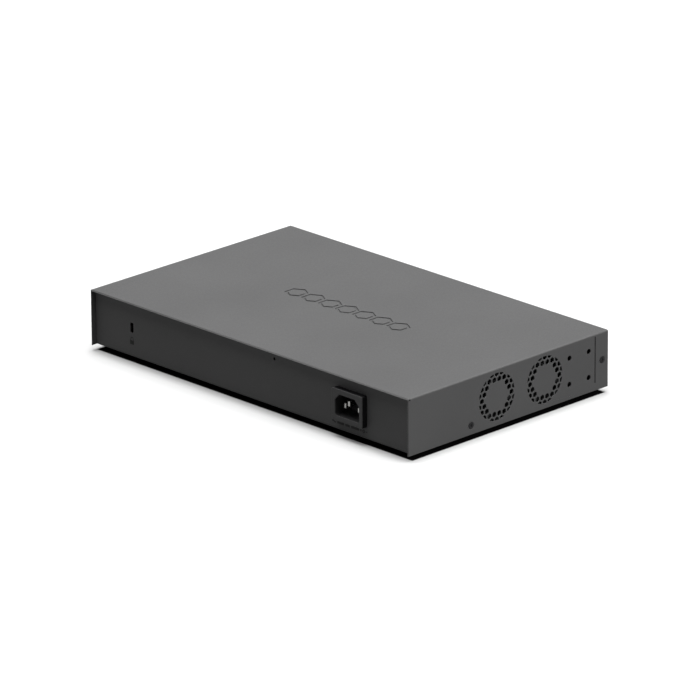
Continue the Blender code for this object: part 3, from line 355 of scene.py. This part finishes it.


# Each worn colour pales the edges of its powder coat: partly rubbed wear, partly painted highlight.
CHARCOAL = (0.0190, 0.0190, 0.0191)
WORN_HIGHLIT_CHARCOAL = (0.060, 0.060, 0.061)
LIP_PAINTED_SHADE_AND_HIGHLIGHT = ((0.0122, 0.0122, 0.0122), (0.052, 0.052, 0.052))     # chamfer in painted shade, cut face in painted highlight
BLACK_OXIDE, WORN_HIGHLIT_OXIDE = (0.0045, 0.0045, 0.0048), (0.018, 0.018, 0.019)
PHOSPHATE, WORN_HIGHLIT_PHOSPHATE = (0.006, 0.006, 0.0062), (0.02, 0.02, 0.021)
# the inlet cavity's paler black is painted light
INLET_BLACK, CAVITY_PAINTED_LIGHT = (0.0025, 0.0025, 0.0027), (0.0085, 0.0085, 0.0087)
FACEPLATE_BLACK, WORN_HIGHLIT_FACEPLATE = (0.0155, 0.0155, 0.0156), (0.03, 0.03, 0.031)
FAN_BLACK = (0.005, 0.005, 0.0053)
MATERIALS = {
    "case_paint": powder_coat("case_paint", CHARCOAL, WORN_HIGHLIT_CHARCOAL),
    "cover_paint": powder_coat("cover_paint", CHARCOAL, WORN_HIGHLIT_CHARCOAL, lip_shade_and_highlight=LIP_PAINTED_SHADE_AND_HIGHLIGHT),
    "screw_paint": powder_coat("screw_black_oxide", BLACK_OXIDE, WORN_HIGHLIT_OXIDE, 0.55),
    "rubber": rubber("foot_rubber", (0.012, 0.012, 0.012)),
    "board_laminate": laminate("board_laminate"),
    "tinned_metal": metal("tinned_metal", (0.60, 0.59, 0.56), 0.32, (1, 0.12, 1)),
    "socket_plastic": moulded("socket_plastic", (0.011, 0.011, 0.0115)),
    "fan_plastic": moulded("fan_plastic", FAN_BLACK, 0.55, 0.0006, Specular_IOR_Level=0.15),
    "clear_guide": frosted("clear_guide"),
    "ivory_plastic": moulded("ivory_plastic", (0.62, 0.58, 0.47), 0.45),
    "aluminium": metal("aluminium", (0.70, 0.71, 0.72), 0.36, (1, 0.1, 1)),
    "insulator_film": moulded("insulator_film", (0.50, 0.44, 0.30), 0.35),
    "ferrite": moulded("ferrite", (0.028, 0.028, 0.032), 0.6, 0.0008, 0.00006),
    "winding_tape": wound("winding_tape", (0.70, 0.52, 0.05), 0.006),
    "capacitor_sleeve": moulded("capacitor_sleeve", (0.014, 0.018, 0.045), 0.28, Coat_Weight=0.3),
    "copper": wound("copper", (0.42, 0.17, 0.05), 0.0012, "Z", 0.3, Metallic=0.7),
    "zinc_steel": metal("zinc_steel", (0.46, 0.47, 0.49), 0.34),
    "wire_brown": rubber("wire_brown", (0.09, 0.03, 0.012), 0.5),
    "wire_blue": rubber("wire_blue", (0.02, 0.06, 0.30), 0.5),
    "wire_green": wound("wire_green", (0.06, 0.26, 0.04), 0.008, "Z", 0.5),
    "wire_red": rubber("wire_red", (0.30, 0.02, 0.02), 0.5),
    "wire_black": rubber("wire_black", (0.007, 0.007, 0.007), 0.5),
    "inlet_black": inlet_moulding("inlet_black", INLET_BLACK, CAVITY_PAINTED_LIGHT),
    "inlet_face": powder_coat("inlet_face", FACEPLATE_BLACK, WORN_HIGHLIT_FACEPLATE),
    "pin_nickel": metal("pin_nickel", (0.27, 0.267, 0.258), 0.2, (1, 0.12, 1)),
    "phosphated_steel": powder_coat("phosphated_steel", PHOSPHATE, WORN_HIGHLIT_PHOSPHATE, 0.6),
    "contact_gold": metal("contact_gold", (0.83, 0.60, 0.24), 0.25),
    "print_dark": ink("print_dark", (0.003, 0.003, 0.003)),
    "print_pale": ink("print_pale", (0.46, 0.46, 0.46)),
}

INLET_PINS = ("inlet_pin_line", "inlet_pin_neutral", "inlet_pin_earth")
OWN_MATERIALS = {
    "top_cover": "cover_paint",
    "fan_bracket": "phosphated_steel",
    "power_inlet_housing": "inlet_black",
    "inlet_faceplate": "inlet_face",
    **dict.fromkeys(INLET_PINS, "pin_nickel"),
}
WELD_DISTANCE = 0.000002        # joins the doubled corners of a CAD mesh


def dress_cad_nodes():
    """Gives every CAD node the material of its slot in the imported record, unless it has its own."""
    for entry in frame["record"]["subparts"]:
        data = NODES[entry["node"]].data
        data.materials.clear()
        name = OWN_MATERIALS.get(entry["node"], entry["material_slot"])
        data.materials.append(MATERIALS[name])


def soften_edges(node, width_mm, angle=35, segments=2):
    """Rounds a CAD node's sharp edges with modifiers, which leave its own mesh as it is."""
    body = NODES[node]
    body.modifiers.new("join_corners", "WELD").merge_threshold = WELD_DISTANCE
    bevel = body.modifiers.new("round_edges", "BEVEL")
    bevel.width = width_mm * MM
    bevel.segments = segments
    bevel.limit_method = "ANGLE"
    bevel.angle_limit = math.radians(angle)


# ---------------------------------------------------------------- mesh pieces

def piece(name, material, body, verts, faces, smooth=False):
    """A new mesh from corners in millimetres, riding on a body."""
    bm = bmesh.new()
    corners = [bm.verts.new([c * MM for c in v]) for v in verts]
    for face in faces:
        bm.faces.new([corners[i] for i in face])
    bmesh.ops.recalc_face_normals(bm, faces=bm.faces[:])
    mesh = bpy.data.meshes.new(name)
    bm.to_mesh(mesh)
    bm.free()
    mesh.materials.append(MATERIALS[material])
    for face in mesh.polygons:
        face.use_smooth = smooth
    made = bpy.data.objects.new(name, mesh)
    bpy.context.scene.collection.objects.link(made)
    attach(made, body)
    return made


SHARPEST_CORNER = 0.3           # keeps the outside of a stroke's tight corner from running away


class Shape:
    """Collects corners and faces of several closed solids."""

    def __init__(self):
        self.verts, self.faces = [], []

    def slab(self, outline, plane, start, end):
        """A plate from a flat outline. plane says how (u, v, depth) become (x, y, z)."""
        count, first = len(outline), len(self.verts)
        for depth in (start, end):
            self.verts += [plane(u, v, depth) for u, v in outline]
        self.faces.append([first + i for i in range(count)])
        self.faces.append([first + count + i for i in range(count)])
        for i in range(count):
            j = (i + 1) % count
            self.faces.append([first + i, first + j, first + count + j, first + count + i])

    def ribbon(self, points, width, plane, start, end, closed=False):
        """A stroke of even width along a line of flat points."""
        left, right = [], []
        count = len(points)
        for i, (u, v) in enumerate(points):
            before = points[i - 1] if (i or closed) else None
            after = points[(i + 1) % count] if (i + 1 < count or closed) else None
            sides = []
            for a, b in ((before, (u, v)), ((u, v), after)):
                if a is not None and b is not None:
                    length = math.hypot(b[0] - a[0], b[1] - a[1])
                    sides.append(((a[1] - b[1]) / length, (b[0] - a[0]) / length))
            nu = sum(s[0] for s in sides) / len(sides)
            nv = sum(s[1] for s in sides) / len(sides)
            scale = width / 2 / max(nu * nu + nv * nv, SHARPEST_CORNER)
            left.append((u + nu * scale, v + nv * scale))
            right.append((u - nu * scale, v - nv * scale))
        steps = count if closed else count - 1
        for i in range(steps):
            j = (i + 1) % count
            self.slab([left[i], left[j], right[j], right[i]], plane, start, end)

    def tube(self, points, radius, sides=8):
        """A round bar along a line of points in space, closed at both ends."""
        rows = []
        up, sideways = Vector((0.0, 0.0, 1.0)), Vector((1.0, 0.0, 0.0))
        track = [Vector(p) for p in points]
        for i, here in enumerate(track):
            ahead, behind = track[min(i + 1, len(track) - 1)], track[max(i - 1, 0)]
            along = (ahead - behind).normalized()
            across = along.cross(up if abs(along.z) < 0.9 else sideways).normalized()
            other = along.cross(across)
            rows.append(len(self.verts))
            for k in range(sides):
                turn = 2 * math.pi * k / sides
                spoke = math.cos(turn) * across + math.sin(turn) * other
                self.verts.append(tuple(here + radius * spoke))
        for a, b in zip(rows, rows[1:]):
            for k in range(sides):
                j = (k + 1) % sides
                self.faces.append([a + k, a + j, b + j, b + k])
        self.faces.append([rows[0] + k for k in range(sides)])
        self.faces.append([rows[-1] + k for k in range(sides)])

    def lathe(self, profile, centre, axis, sides=24):
        """A turned solid from (radius, depth) pairs; the first and last radius may be 0."""
        rings = []
        for radius, depth in profile:
            ring = []
            for k in range(sides if radius > 0 else 1):
                turn = 2 * math.pi * k / sides
                ring.append(len(self.verts))
                u = centre[0] + radius * math.cos(turn)
                v = centre[1] + radius * math.sin(turn)
                self.verts.append(axis(u, v, depth))
            rings.append(ring)
        for low, high in zip(rings, rings[1:]):
            for k in range(sides):
                near, far = [low[(k + step) % len(low)] for step in (0, 1)]
                above, beyond = [high[(k + step) % len(high)] for step in (0, 1)]
                self.faces.append(list(dict.fromkeys([near, far, beyond, above])))

    def make(self, name, material, body, smooth=False):
        """Turns what has been collected into one piece."""
        return piece(name, material, body, self.verts, self.faces, smooth)


def on_rear(u, v, depth):
    """Rear panel plane as seen from behind: u runs to -X, v up, depth outwards."""
    return (-u, REAR_Y + depth, v)


def on_front(u, v, depth):
    """Front panel plane as seen from the front: u runs to +X, v up, depth outwards."""
    return (u, FRONT_Y - depth, v)


def under_floor(u, v, depth):
    """Underside of the tray: depth downwards."""
    return (u, v, TRAY_LOW[Z] - depth)


def circle(u, v, radius, start=0, end=360, steps=16):
    """Points of an arc, ends included unless it is a whole circle."""
    count = steps if abs(end - start) >= 360 else steps + 1
    turns = [math.radians(start + (end - start) * i / steps) for i in range(count)]
    return [(u + radius * math.cos(t), v + radius * math.sin(t)) for t in turns]


def block(u0, v0, u1, v1):
    """Corners of an upright rectangle."""
    return [(u0, v0), (u1, v0), (u1, v1), (u0, v1)]


# ---------------------------------------------------------------- printed marks

INK = (0.005, 0.03)             # where printed ink starts and ends above its panel
DIGIT_WIDTH = 0.58              # as a share of its height
DIGIT_STEP = 1.35               # from one digit to the next, as a share of its width

# Strokes of each digit in a unit box, as (across, up).
DIGITS = {
    "0": [[(0.5, 0.0), (0.2, 0.08), (0.06, 0.35), (0.06, 0.65), (0.2, 0.92), (0.5, 1.0),
           (0.8, 0.92), (0.94, 0.65), (0.94, 0.35), (0.8, 0.08), (0.5, 0.0)]],
    "1": [[(0.25, 0.75), (0.55, 1.0), (0.55, 0.0)]],
    "2": [[(0.05, 0.78), (0.2, 0.95), (0.5, 1.0), (0.8, 0.93), (0.92, 0.72), (0.8, 0.5),
           (0.05, 0.0), (0.95, 0.0)]],
    "3": [[(0.08, 0.85), (0.35, 1.0), (0.7, 0.97), (0.88, 0.76), (0.7, 0.56), (0.42, 0.52)],
          [(0.42, 0.52), (0.75, 0.47), (0.95, 0.26), (0.72, 0.03), (0.35, 0.0), (0.05, 0.14)]],
    "4": [[(0.7, 0.0), (0.7, 1.0), (0.02, 0.3), (0.98, 0.3)]],
    "5": [[(0.88, 1.0), (0.2, 1.0), (0.12, 0.55), (0.5, 0.65), (0.85, 0.52), (0.95, 0.3),
           (0.75, 0.05), (0.35, 0.0), (0.05, 0.14)]],
    "6": [[(0.8, 0.92), (0.5, 1.0), (0.2, 0.8), (0.06, 0.45), (0.15, 0.12), (0.5, 0.0),
           (0.85, 0.1), (0.94, 0.34), (0.8, 0.55), (0.5, 0.62), (0.12, 0.45)]],
    "7": [[(0.05, 1.0), (0.95, 1.0), (0.4, 0.0)]],
    "8": [[(0.5, 0.53), (0.15, 0.65), (0.12, 0.86), (0.35, 1.0), (0.65, 1.0), (0.88, 0.86),
           (0.85, 0.65), (0.5, 0.53)],
          [(0.5, 0.53), (0.1, 0.4), (0.05, 0.15), (0.3, 0.0), (0.7, 0.0), (0.95, 0.15),
           (0.9, 0.4), (0.5, 0.53)]],
    "9": [[(0.2, 0.08), (0.5, 0.0), (0.8, 0.2), (0.94, 0.55), (0.85, 0.88), (0.5, 1.0),
           (0.15, 0.9), (0.06, 0.66), (0.2, 0.45), (0.5, 0.38), (0.88, 0.55)]],
}


def number(shape, text, u, v, height, plane, stroke=0.28):
    """Writes a plain number, centred at u, with its foot at v."""
    width = height * DIGIT_WIDTH
    step = width * DIGIT_STEP
    left = u - (step * (len(text) - 1) + width) / 2
    for place, digit in enumerate(text):
        for line in DIGITS[digit]:
            points = [(left + place * step + a * width, v + b * height) for a, b in line]
            shape.ribbon(points, stroke, plane, *INK)


LOCK_MARK = (-125.0, 15.1)      # middle of the padlock's body
ROW_START = 84.4                # the row under the inlet runs from here to -X
ROW_DROP = 4.6                  # from the inlet's faceplate to the row's foot
ROW_MIDDLE = 0.9                # height of the wave's and the ring's middle over the foot
ROW_GROUPS = ((5.0, 6), (13.2, 4), (19.2, 7), (28.4, 1))    # start and number of bars
ROW_RING = 31.8
BAR_PITCH = 1.15
BAR_WIDTH = 1.0
BAR_HEIGHTS = (1.7, 2.1, 2.1)   # taken in turn


def lock_sign(marks):
    """A plain padlock under the lock slot."""
    u, v = LOCK_MARK
    half_width, top, radius = 2.1, v + 1.5, 1.35
    marks.slab(block(u - half_width, v - 1.6, u + half_width, top), on_rear, *INK)
    loop = circle(u, v + 2.6, radius, 180, 0, 8)
    shackle = [(u - radius, top)] + loop + [(u + radius, top)]
    marks.ribbon(shackle, 0.55, on_rear, *INK)


def inlet_row(marks):
    """A row without letters under the inlet: a wave sign, bars and a ring."""
    foot = INLET_LOW[Z] - ROW_DROP
    middle = foot + ROW_MIDDLE
    wave = [(ROW_START + 0.45 * i, middle + 0.6 * math.sin(math.pi * i / 4)) for i in range(9)]
    marks.ribbon(wave, 0.9, on_rear, *INK)
    for start, count in ROW_GROUPS:
        for i in range(count):
            u = ROW_START + start + i * BAR_PITCH
            top = foot + BAR_HEIGHTS[i % len(BAR_HEIGHTS)]
            marks.slab(block(u, foot, u + BAR_WIDTH, top), on_rear, *INK)
    ring = ROW_START + ROW_RING
    marks.ribbon(circle(ring, middle, 0.95, steps=14), 0.8, on_rear, *INK, closed=True)
    marks.ribbon([(ring + 2.2, middle), (ring + 3.8, middle)], 0.7, on_rear, *INK)


def rear_print():
    """Generic marks on the rear panel."""
    marks = Shape()
    lock_sign(marks)
    inlet_row(marks)
    marks.make("rear_marks", "print_dark", "chassis")


SIGN_Z = 37.2
BUTTON_SIGN_Z = 20.9
LIGHT_ROWS_Z = (25.0, 33.0)
LIGHT_XS = [-60.0 + 8.0 * i for i in range(8)]
LIGHT_NUMBERS_Z = 35.6
LIGHT_POINTERS_X = (-66.2, -64.6)       # foot and tip of the pointer beside each row of lights
LIGHT_LINE = ((-66.5, 40.1), (1.0, 40.1))
POWER_X, FAN_X, ALERT_X = -118.0, -111.0, -104.0
RESET_X, MODE_X = POWER_X, ALERT_X
NUMBER_HEIGHT = 2.2
NUMBER_GAP = 1.3                # from a socket or cage to the foot of the number over it
NUMBER_DROP = 3.6               # from a socket to the foot of the number under it
LINE_GAP = 4.6                  # from a module cage to the line over it
THIN, THINNER = 0.3, 0.25       # strokes


def port_numbers(marks):
    """1 to 8 at the sockets, 9 and 10 at the module cages, and 1 to 8 over the light field."""
    over, under = SHIELD_HIGH[Z] + NUMBER_GAP, SHIELD_LOW[Z] - NUMBER_DROP
    for i, x in enumerate(PORT_XS):
        number(marks, str(2 * i + 1), x, over, NUMBER_HEIGHT, on_front)
        number(marks, str(2 * i + 2), x, under, NUMBER_HEIGHT, on_front)
    for name, text in zip(MODULE_CAGES, ("9", "10")):
        low, high = box_mm(name)
        middle, line = (low[X] + high[X]) / 2, high[Z] + LINE_GAP
        number(marks, text, middle, high[Z] + NUMBER_GAP, NUMBER_HEIGHT, on_front)
        marks.ribbon([(low[X] + 0.5, line), (high[X] - 0.5, line)], THIN, on_front, *INK)
    for i, x in enumerate(LIGHT_XS):
        number(marks, str(i + 1), x, LIGHT_NUMBERS_Z, 1.9, on_front, THINNER)
    foot, tip = LIGHT_POINTERS_X
    for z in LIGHT_ROWS_Z:
        marks.slab([(foot, z - 0.8), (tip, z), (foot, z + 0.8)], on_front, *INK)
    marks.ribbon(LIGHT_LINE, THINNER, on_front, *INK)


def status_signs(marks):
    """Over the status lights: a power sign, a fan and a warning triangle."""
    arc = circle(POWER_X, SIGN_Z, 1.15, 60, -240, 12)
    marks.ribbon(arc[::-1], THIN, on_front, *INK)
    marks.ribbon([(POWER_X, SIGN_Z + 0.1), (POWER_X, SIGN_Z + 1.4)], THIN, on_front, *INK)
    for turn in (90, 210, 330):
        a = math.radians(turn)
        tip = (FAN_X + 1.3 * math.cos(a), SIGN_Z + 1.3 * math.sin(a))
        side = (FAN_X + 0.9 * math.cos(a + 0.9), SIGN_Z + 0.9 * math.sin(a + 0.9))
        marks.slab([(FAN_X, SIGN_Z), tip, side], on_front, *INK)
    low = SIGN_Z - 1.0
    triangle = [(ALERT_X - 1.2, low), (ALERT_X + 1.2, low), (ALERT_X, low + 2.1)]
    marks.ribbon(triangle, THIN, on_front, *INK, closed=True)


def button_signs(marks):
    """Over the buttons: a turning arrow for reset and a short list for mode."""
    x, z = RESET_X, BUTTON_SIGN_Z
    marks.ribbon(circle(x, z, 0.95, 40, 320, 12), THIN, on_front, *INK)
    marks.slab([(x + 0.1, z + 0.8), (x + 1.3, z + 0.5), (x + 0.7, z - 0.2)], on_front, *INK)
    for i in range(3):
        line = z + 0.4 + 0.75 * i
        marks.ribbon([(MODE_X - 1.2, line), (MODE_X + 1.2, line)], THIN, on_front, *INK)


def front_print():
    """Plain numbers and generic signs on the front panel."""
    marks = Shape()
    port_numbers(marks)
    status_signs(marks)
    button_signs(marks)
    marks.make("front_marks", "print_pale", "chassis")


# ---------------------------------------------------------------- what the CAD leaves out

CONTACT_PITCH = 1.02
CONTACT_RADIUS = 0.2
CONTACT_ROOT = 1.3              # from the middle of the block to the wall the contacts rise from
# One sprung contact, as (depth behind the socket's face, height over the wall it rises from).
CONTACT_LINE = ((3.4, 0.28), (4.6, 0.3), (5.4, 0.75), (11.0, 3.0), (12.2, 3.25), (13.0, 2.8),
                (13.6, 0.28))


def jack_contacts():
    """Eight sprung gold wires in each socket, rising from the wall opposite its latch notch."""
    for row, label in ((1, "upper"), (-1, "lower")):
        root = PORT_MIDDLE_Z + row * CONTACT_ROOT
        for column, x in enumerate(PORT_XS):
            wires = Shape()
            for i in range(8):
                at = x + (i - 3.5) * CONTACT_PITCH
                line = [(at, SOCKETS_Y + depth, root + row * rise) for depth, rise in CONTACT_LINE]
                wires.tube(line, CONTACT_RADIUS, 6)
            name = f"jack_contacts_{label}_{column + 1}"
            wires.make(name, "contact_gold", "chassis", True)


TAB_OFFSET = 5.6                # from the middle of the block up or down to a tab's middle


def jack_tabs():
    """Folded earthing tabs of the port shield at the sides of each socket mouth."""
    tabs = Shape()
    front = SHIELD_LOW[Y] + 0.06
    half_width, half_height, thickness = 0.42, 2.4, 0.3
    for x in [PORT_XS[0] - PORT_PITCH / 2] + [x + PORT_PITCH / 2 for x in PORT_XS]:
        for row in (1, -1):
            z = PORT_MIDDLE_Z + row * TAB_OFFSET
            outline = block(x - half_width, z - half_height, x + half_width, z + half_height)
            tabs.slab(outline, lambda u, v, d: (u, front + d, v), 0.0, thickness)
    tabs.make("port_shield_tabs", "tinned_metal", "chassis")


CAGE_WALL = 0.5
FINGER_START, FINGER_PITCH = 2.4, 3.4
SIDE_FINGER_INSET = 3.0
# Sections of the fingers, as (depth behind the cage's mouth, height off the wall).
LONG_FINGER = ((0.7, 0.02), (3.0, 0.55), (5.6, 0.7), (8.0, 0.02), (5.6, 0.5), (3.0, 0.35))
SHORT_FINGER = ((0.7, 0.02), (3.0, 0.5), (6.5, 0.02), (3.0, 0.3))


def cage_springs():
    """Earthing fingers on the four walls inside each module cage's mouth."""
    for name in MODULE_CAGES:
        low, high = box_mm(name)
        fingers = Shape()
        front = low[Y]
        for side, z in ((-1, high[Z] - CAGE_WALL), (1, low[Z] + CAGE_WALL)):
            profile = [(front + depth, z + side * rise) for depth, rise in LONG_FINGER]
            for i in range(4):
                x = low[X] + FINGER_START + i * FINGER_PITCH
                fingers.slab(profile, lambda u, v, d: (d, u, v), x - 0.7, x + 0.7)
        for side, x in ((1, low[X] + CAGE_WALL), (-1, high[X] - CAGE_WALL)):
            profile = [(front + depth, x + side * rise) for depth, rise in SHORT_FINGER]
            for z in (low[Z] + SIDE_FINGER_INSET, high[Z] - SIDE_FINGER_INSET):
                fingers.slab(profile, lambda u, v, d: (v, u, d), z - 0.8, z + 0.8)
        fingers_name = name.replace("module_cage", "cage_fingers")
        fingers.make(fingers_name, "tinned_metal", "chassis")


POST_INSET = 5.0


def post_places():
    """Middle of each board post, with the height of its board's top."""
    places = []
    for node in ("main_board", "power_supply_board"):
        low, high = box_mm(node)
        xs = (low[X] + POST_INSET, high[X] - POST_INSET)
        ys = (low[Y] + POST_INSET, high[Y] - POST_INSET)
        places += [(x, y, high[Z]) for x in xs for y in ys]
    return places


# Half sections, as (radius, depth under the tray) and (radius, height over the board).
FASTENER_LINE = ((0, -0.02), (2.9, -0.02), (2.9, 0.05), (2.6, 0.09), (0, 0.09))
SCREW_LINE = ((0, 0.02), (2.7, 0.02), (2.8, 0.5), (2.3, 1.4), (1.2, 1.8), (0, 1.85))


def underside_details():
    """Pressed-in fastener heads on the tray's underside, one under each board post."""
    heads = Shape()
    for x, y, _ in post_places():
        heads.lathe(FASTENER_LINE, (x, y), under_floor, 6)
    heads.make("floor_fastener_heads", "zinc_steel", "chassis")


def board_screws():
    """Pan-head screws that hold the two boards down."""
    screws = Shape()
    for x, y, top in post_places():
        profile = [(radius, top + rise) for radius, rise in SCREW_LINE]
        screws.lathe(profile, (x, y), lambda u, v, d: (u, v, d), 16)
    screws.make("board_screws", "zinc_steel", "chassis", True)


# ---------------------------------------------------------------- stage

FLOOR_REACH = 12.0              # metres from the middle to each edge
FLOOR_GREY = 0.136
# the dark rectangle under the case is a shadow painted on the floor
FLOOR_PAINTED_SHADOW = (0.002, 0.002, 0.002)
PAINTED_SHADOW_X = (COVER_LOW[X], COVER_HIGH[X] - 1.8)
PAINTED_SHADOW_Y = (COVER_LOW[Y] + 2.8, REAR_Y + 0.15)
PAINTED_SHADOW_EDGE = (-0.0003, 0.0005)   # metres inside the painted shadow's edge, from pale to dark


def floor_material():
    """Pale, with a painted shadow: a dark rectangle painted under the case."""
    paint = Paint("floor_with_painted_shadow", Roughness=0.9, Specular_IOR_Level=0.0)
    insides = []
    for axis, (start, end) in ((X, PAINTED_SHADOW_X), (Y, PAINTED_SHADOW_Y)):
        middle, reach = (start + end) / 2 * MM, (end - start) / 2 * MM
        insides.append(paint.calculate("SUBTRACT", reach, paint.off_middle(axis, middle)))
    # under is 1 on the painted shadow under the case and 0 on the pale floor
    under = paint.span(paint.calculate("MINIMUM", *insides), 0.0, 1.0, *PAINTED_SHADOW_EDGE)
    grain = paint.ramp(paint.noise(0.3, 3.0), [(0.3, 0.97 * FLOOR_GREY), (0.7, FLOOR_GREY)])
    paint.colour(paint.mix(under, grain, FLOOR_PAINTED_SHADOW))
    return paint.material


def build_floor():
    """Pale floor with a painted shadow under the case."""
    bm = bmesh.new()
    outline = block(-FLOOR_REACH, -FLOOR_REACH, FLOOR_REACH, FLOOR_REACH)
    bm.faces.new([bm.verts.new((x, y, 0)) for x, y in outline])
    mesh = bpy.data.meshes.new("floor")
    bm.to_mesh(mesh)
    bm.free()
    mesh.materials.append(floor_material())
    floor = bpy.data.objects.new("floor", mesh)
    bpy.context.scene.collection.objects.link(floor)


# Each light's name, azimuth and elevation in degrees, strength, and width in degrees.
SUNS = (
    ("overhead_light", -45, 85.5, 14.8, 66),
    ("key_light", -25, 88.0, 10.1, 20),
    ("side_light", 193, 20, 7.6, 44),
    ("rear_light", 90, 12, 1.5, 40),
    ("front_light", -110, 30, 1.6, 60),
)
SUN_DISTANCE = 3                # metres; a sun's place has no effect on its light
BACKDROP = 1.1                  # strength of the white that the camera sees past the floor
WORLD_LIGHT = 0.15              # strength of the white that lights the pieces
WHITE = (1, 1, 1, 1)


def towards(azimuth, elevation):
    """Direction of a place in the sky, angles in radians."""
    level = math.cos(elevation)
    return Vector((math.cos(azimuth) * level, math.sin(azimuth) * level, math.sin(elevation)))


def build_lights():
    """Soft light: two suns nearly overhead, and weaker ones facing both ends and the rear."""
    for name, azimuth, elevation, strength, width in SUNS:
        lamp = bpy.data.lights.new(name, "SUN")
        lamp.energy = strength
        lamp.angle = math.radians(width)
        direction = towards(math.radians(azimuth), math.radians(elevation))
        holder = bpy.data.objects.new(name, lamp)
        holder.rotation_euler = direction.to_track_quat("Z", "Y").to_euler()
        holder.location = direction * SUN_DISTANCE
        bpy.context.scene.collection.objects.link(holder)


def build_world():
    """White backdrop that lights the pieces only faintly."""
    world = bpy.data.worlds.new("studio")
    world.use_nodes = True
    tree = world.node_tree
    tree.nodes.clear()
    output = tree.nodes.new("ShaderNodeOutputWorld")
    seen = tree.nodes.new("ShaderNodeBackground")
    lit = tree.nodes.new("ShaderNodeBackground")
    for background, strength in ((seen, BACKDROP), (lit, WORLD_LIGHT)):
        background.inputs["Color"].default_value = WHITE
        background.inputs["Strength"].default_value = strength
    path = tree.nodes.new("ShaderNodeLightPath")
    mix = tree.nodes.new("ShaderNodeMixShader")
    tree.links.new(path.outputs["Is Camera Ray"], mix.inputs[0])
    tree.links.new(lit.outputs[0], mix.inputs[1])
    tree.links.new(seen.outputs[0], mix.inputs[2])
    tree.links.new(mix.outputs[0], output.inputs[0])
    bpy.context.scene.world = world
    bpy.context.scene.view_settings.view_transform = "Standard"


CAMERA_AZIMUTH = 135.709        # this and the next two in degrees
CAMERA_ELEVATION = 19.941
CAMERA_ROLL = -0.3683
CAMERA_DISTANCE = 5.20697       # metres
CAMERA_AIM = (0.0019138, 0.0148596)     # metres right of and above the origin
CAMERA_LENS = 367.74
CAMERA_SENSOR = 36.0
CAMERA_CLIP = (0.1, 100.0)


def build_camera():
    """Camera at the studio view: from the rear left corner, nearly without perspective."""
    angles = (CAMERA_AZIMUTH, CAMERA_ELEVATION, CAMERA_ROLL)
    azimuth, elevation, roll = map(math.radians, angles)
    back = towards(azimuth, elevation)
    level = Vector((-math.sin(azimuth), math.cos(azimuth), 0.0))
    upright = back.cross(level)
    right = level * math.cos(roll) + upright * math.sin(roll)
    up = upright * math.cos(roll) - level * math.sin(roll)
    data = bpy.data.cameras.new("camera")
    data.sensor_width = CAMERA_SENSOR
    data.lens = CAMERA_LENS
    data.clip_start, data.clip_end = CAMERA_CLIP
    camera = bpy.data.objects.new("camera", data)
    place = back * CAMERA_DISTANCE + right * CAMERA_AIM[0] + up * CAMERA_AIM[1]
    rotation = Matrix((right, up, back)).transposed()
    camera.matrix_world = Matrix.Translation(place) @ rotation.to_4x4()
    bpy.context.scene.collection.objects.link(camera)
    bpy.context.scene.camera = camera


dress_cad_nodes()
soften_edges("top_cover", 0.15)
for pin in INLET_PINS:
    soften_edges(pin, 0.35)
rear_print()
front_print()
jack_contacts()
jack_tabs()
cage_springs()
underside_details()
board_screws()
build_floor()
build_lights()
build_world()
build_camera()
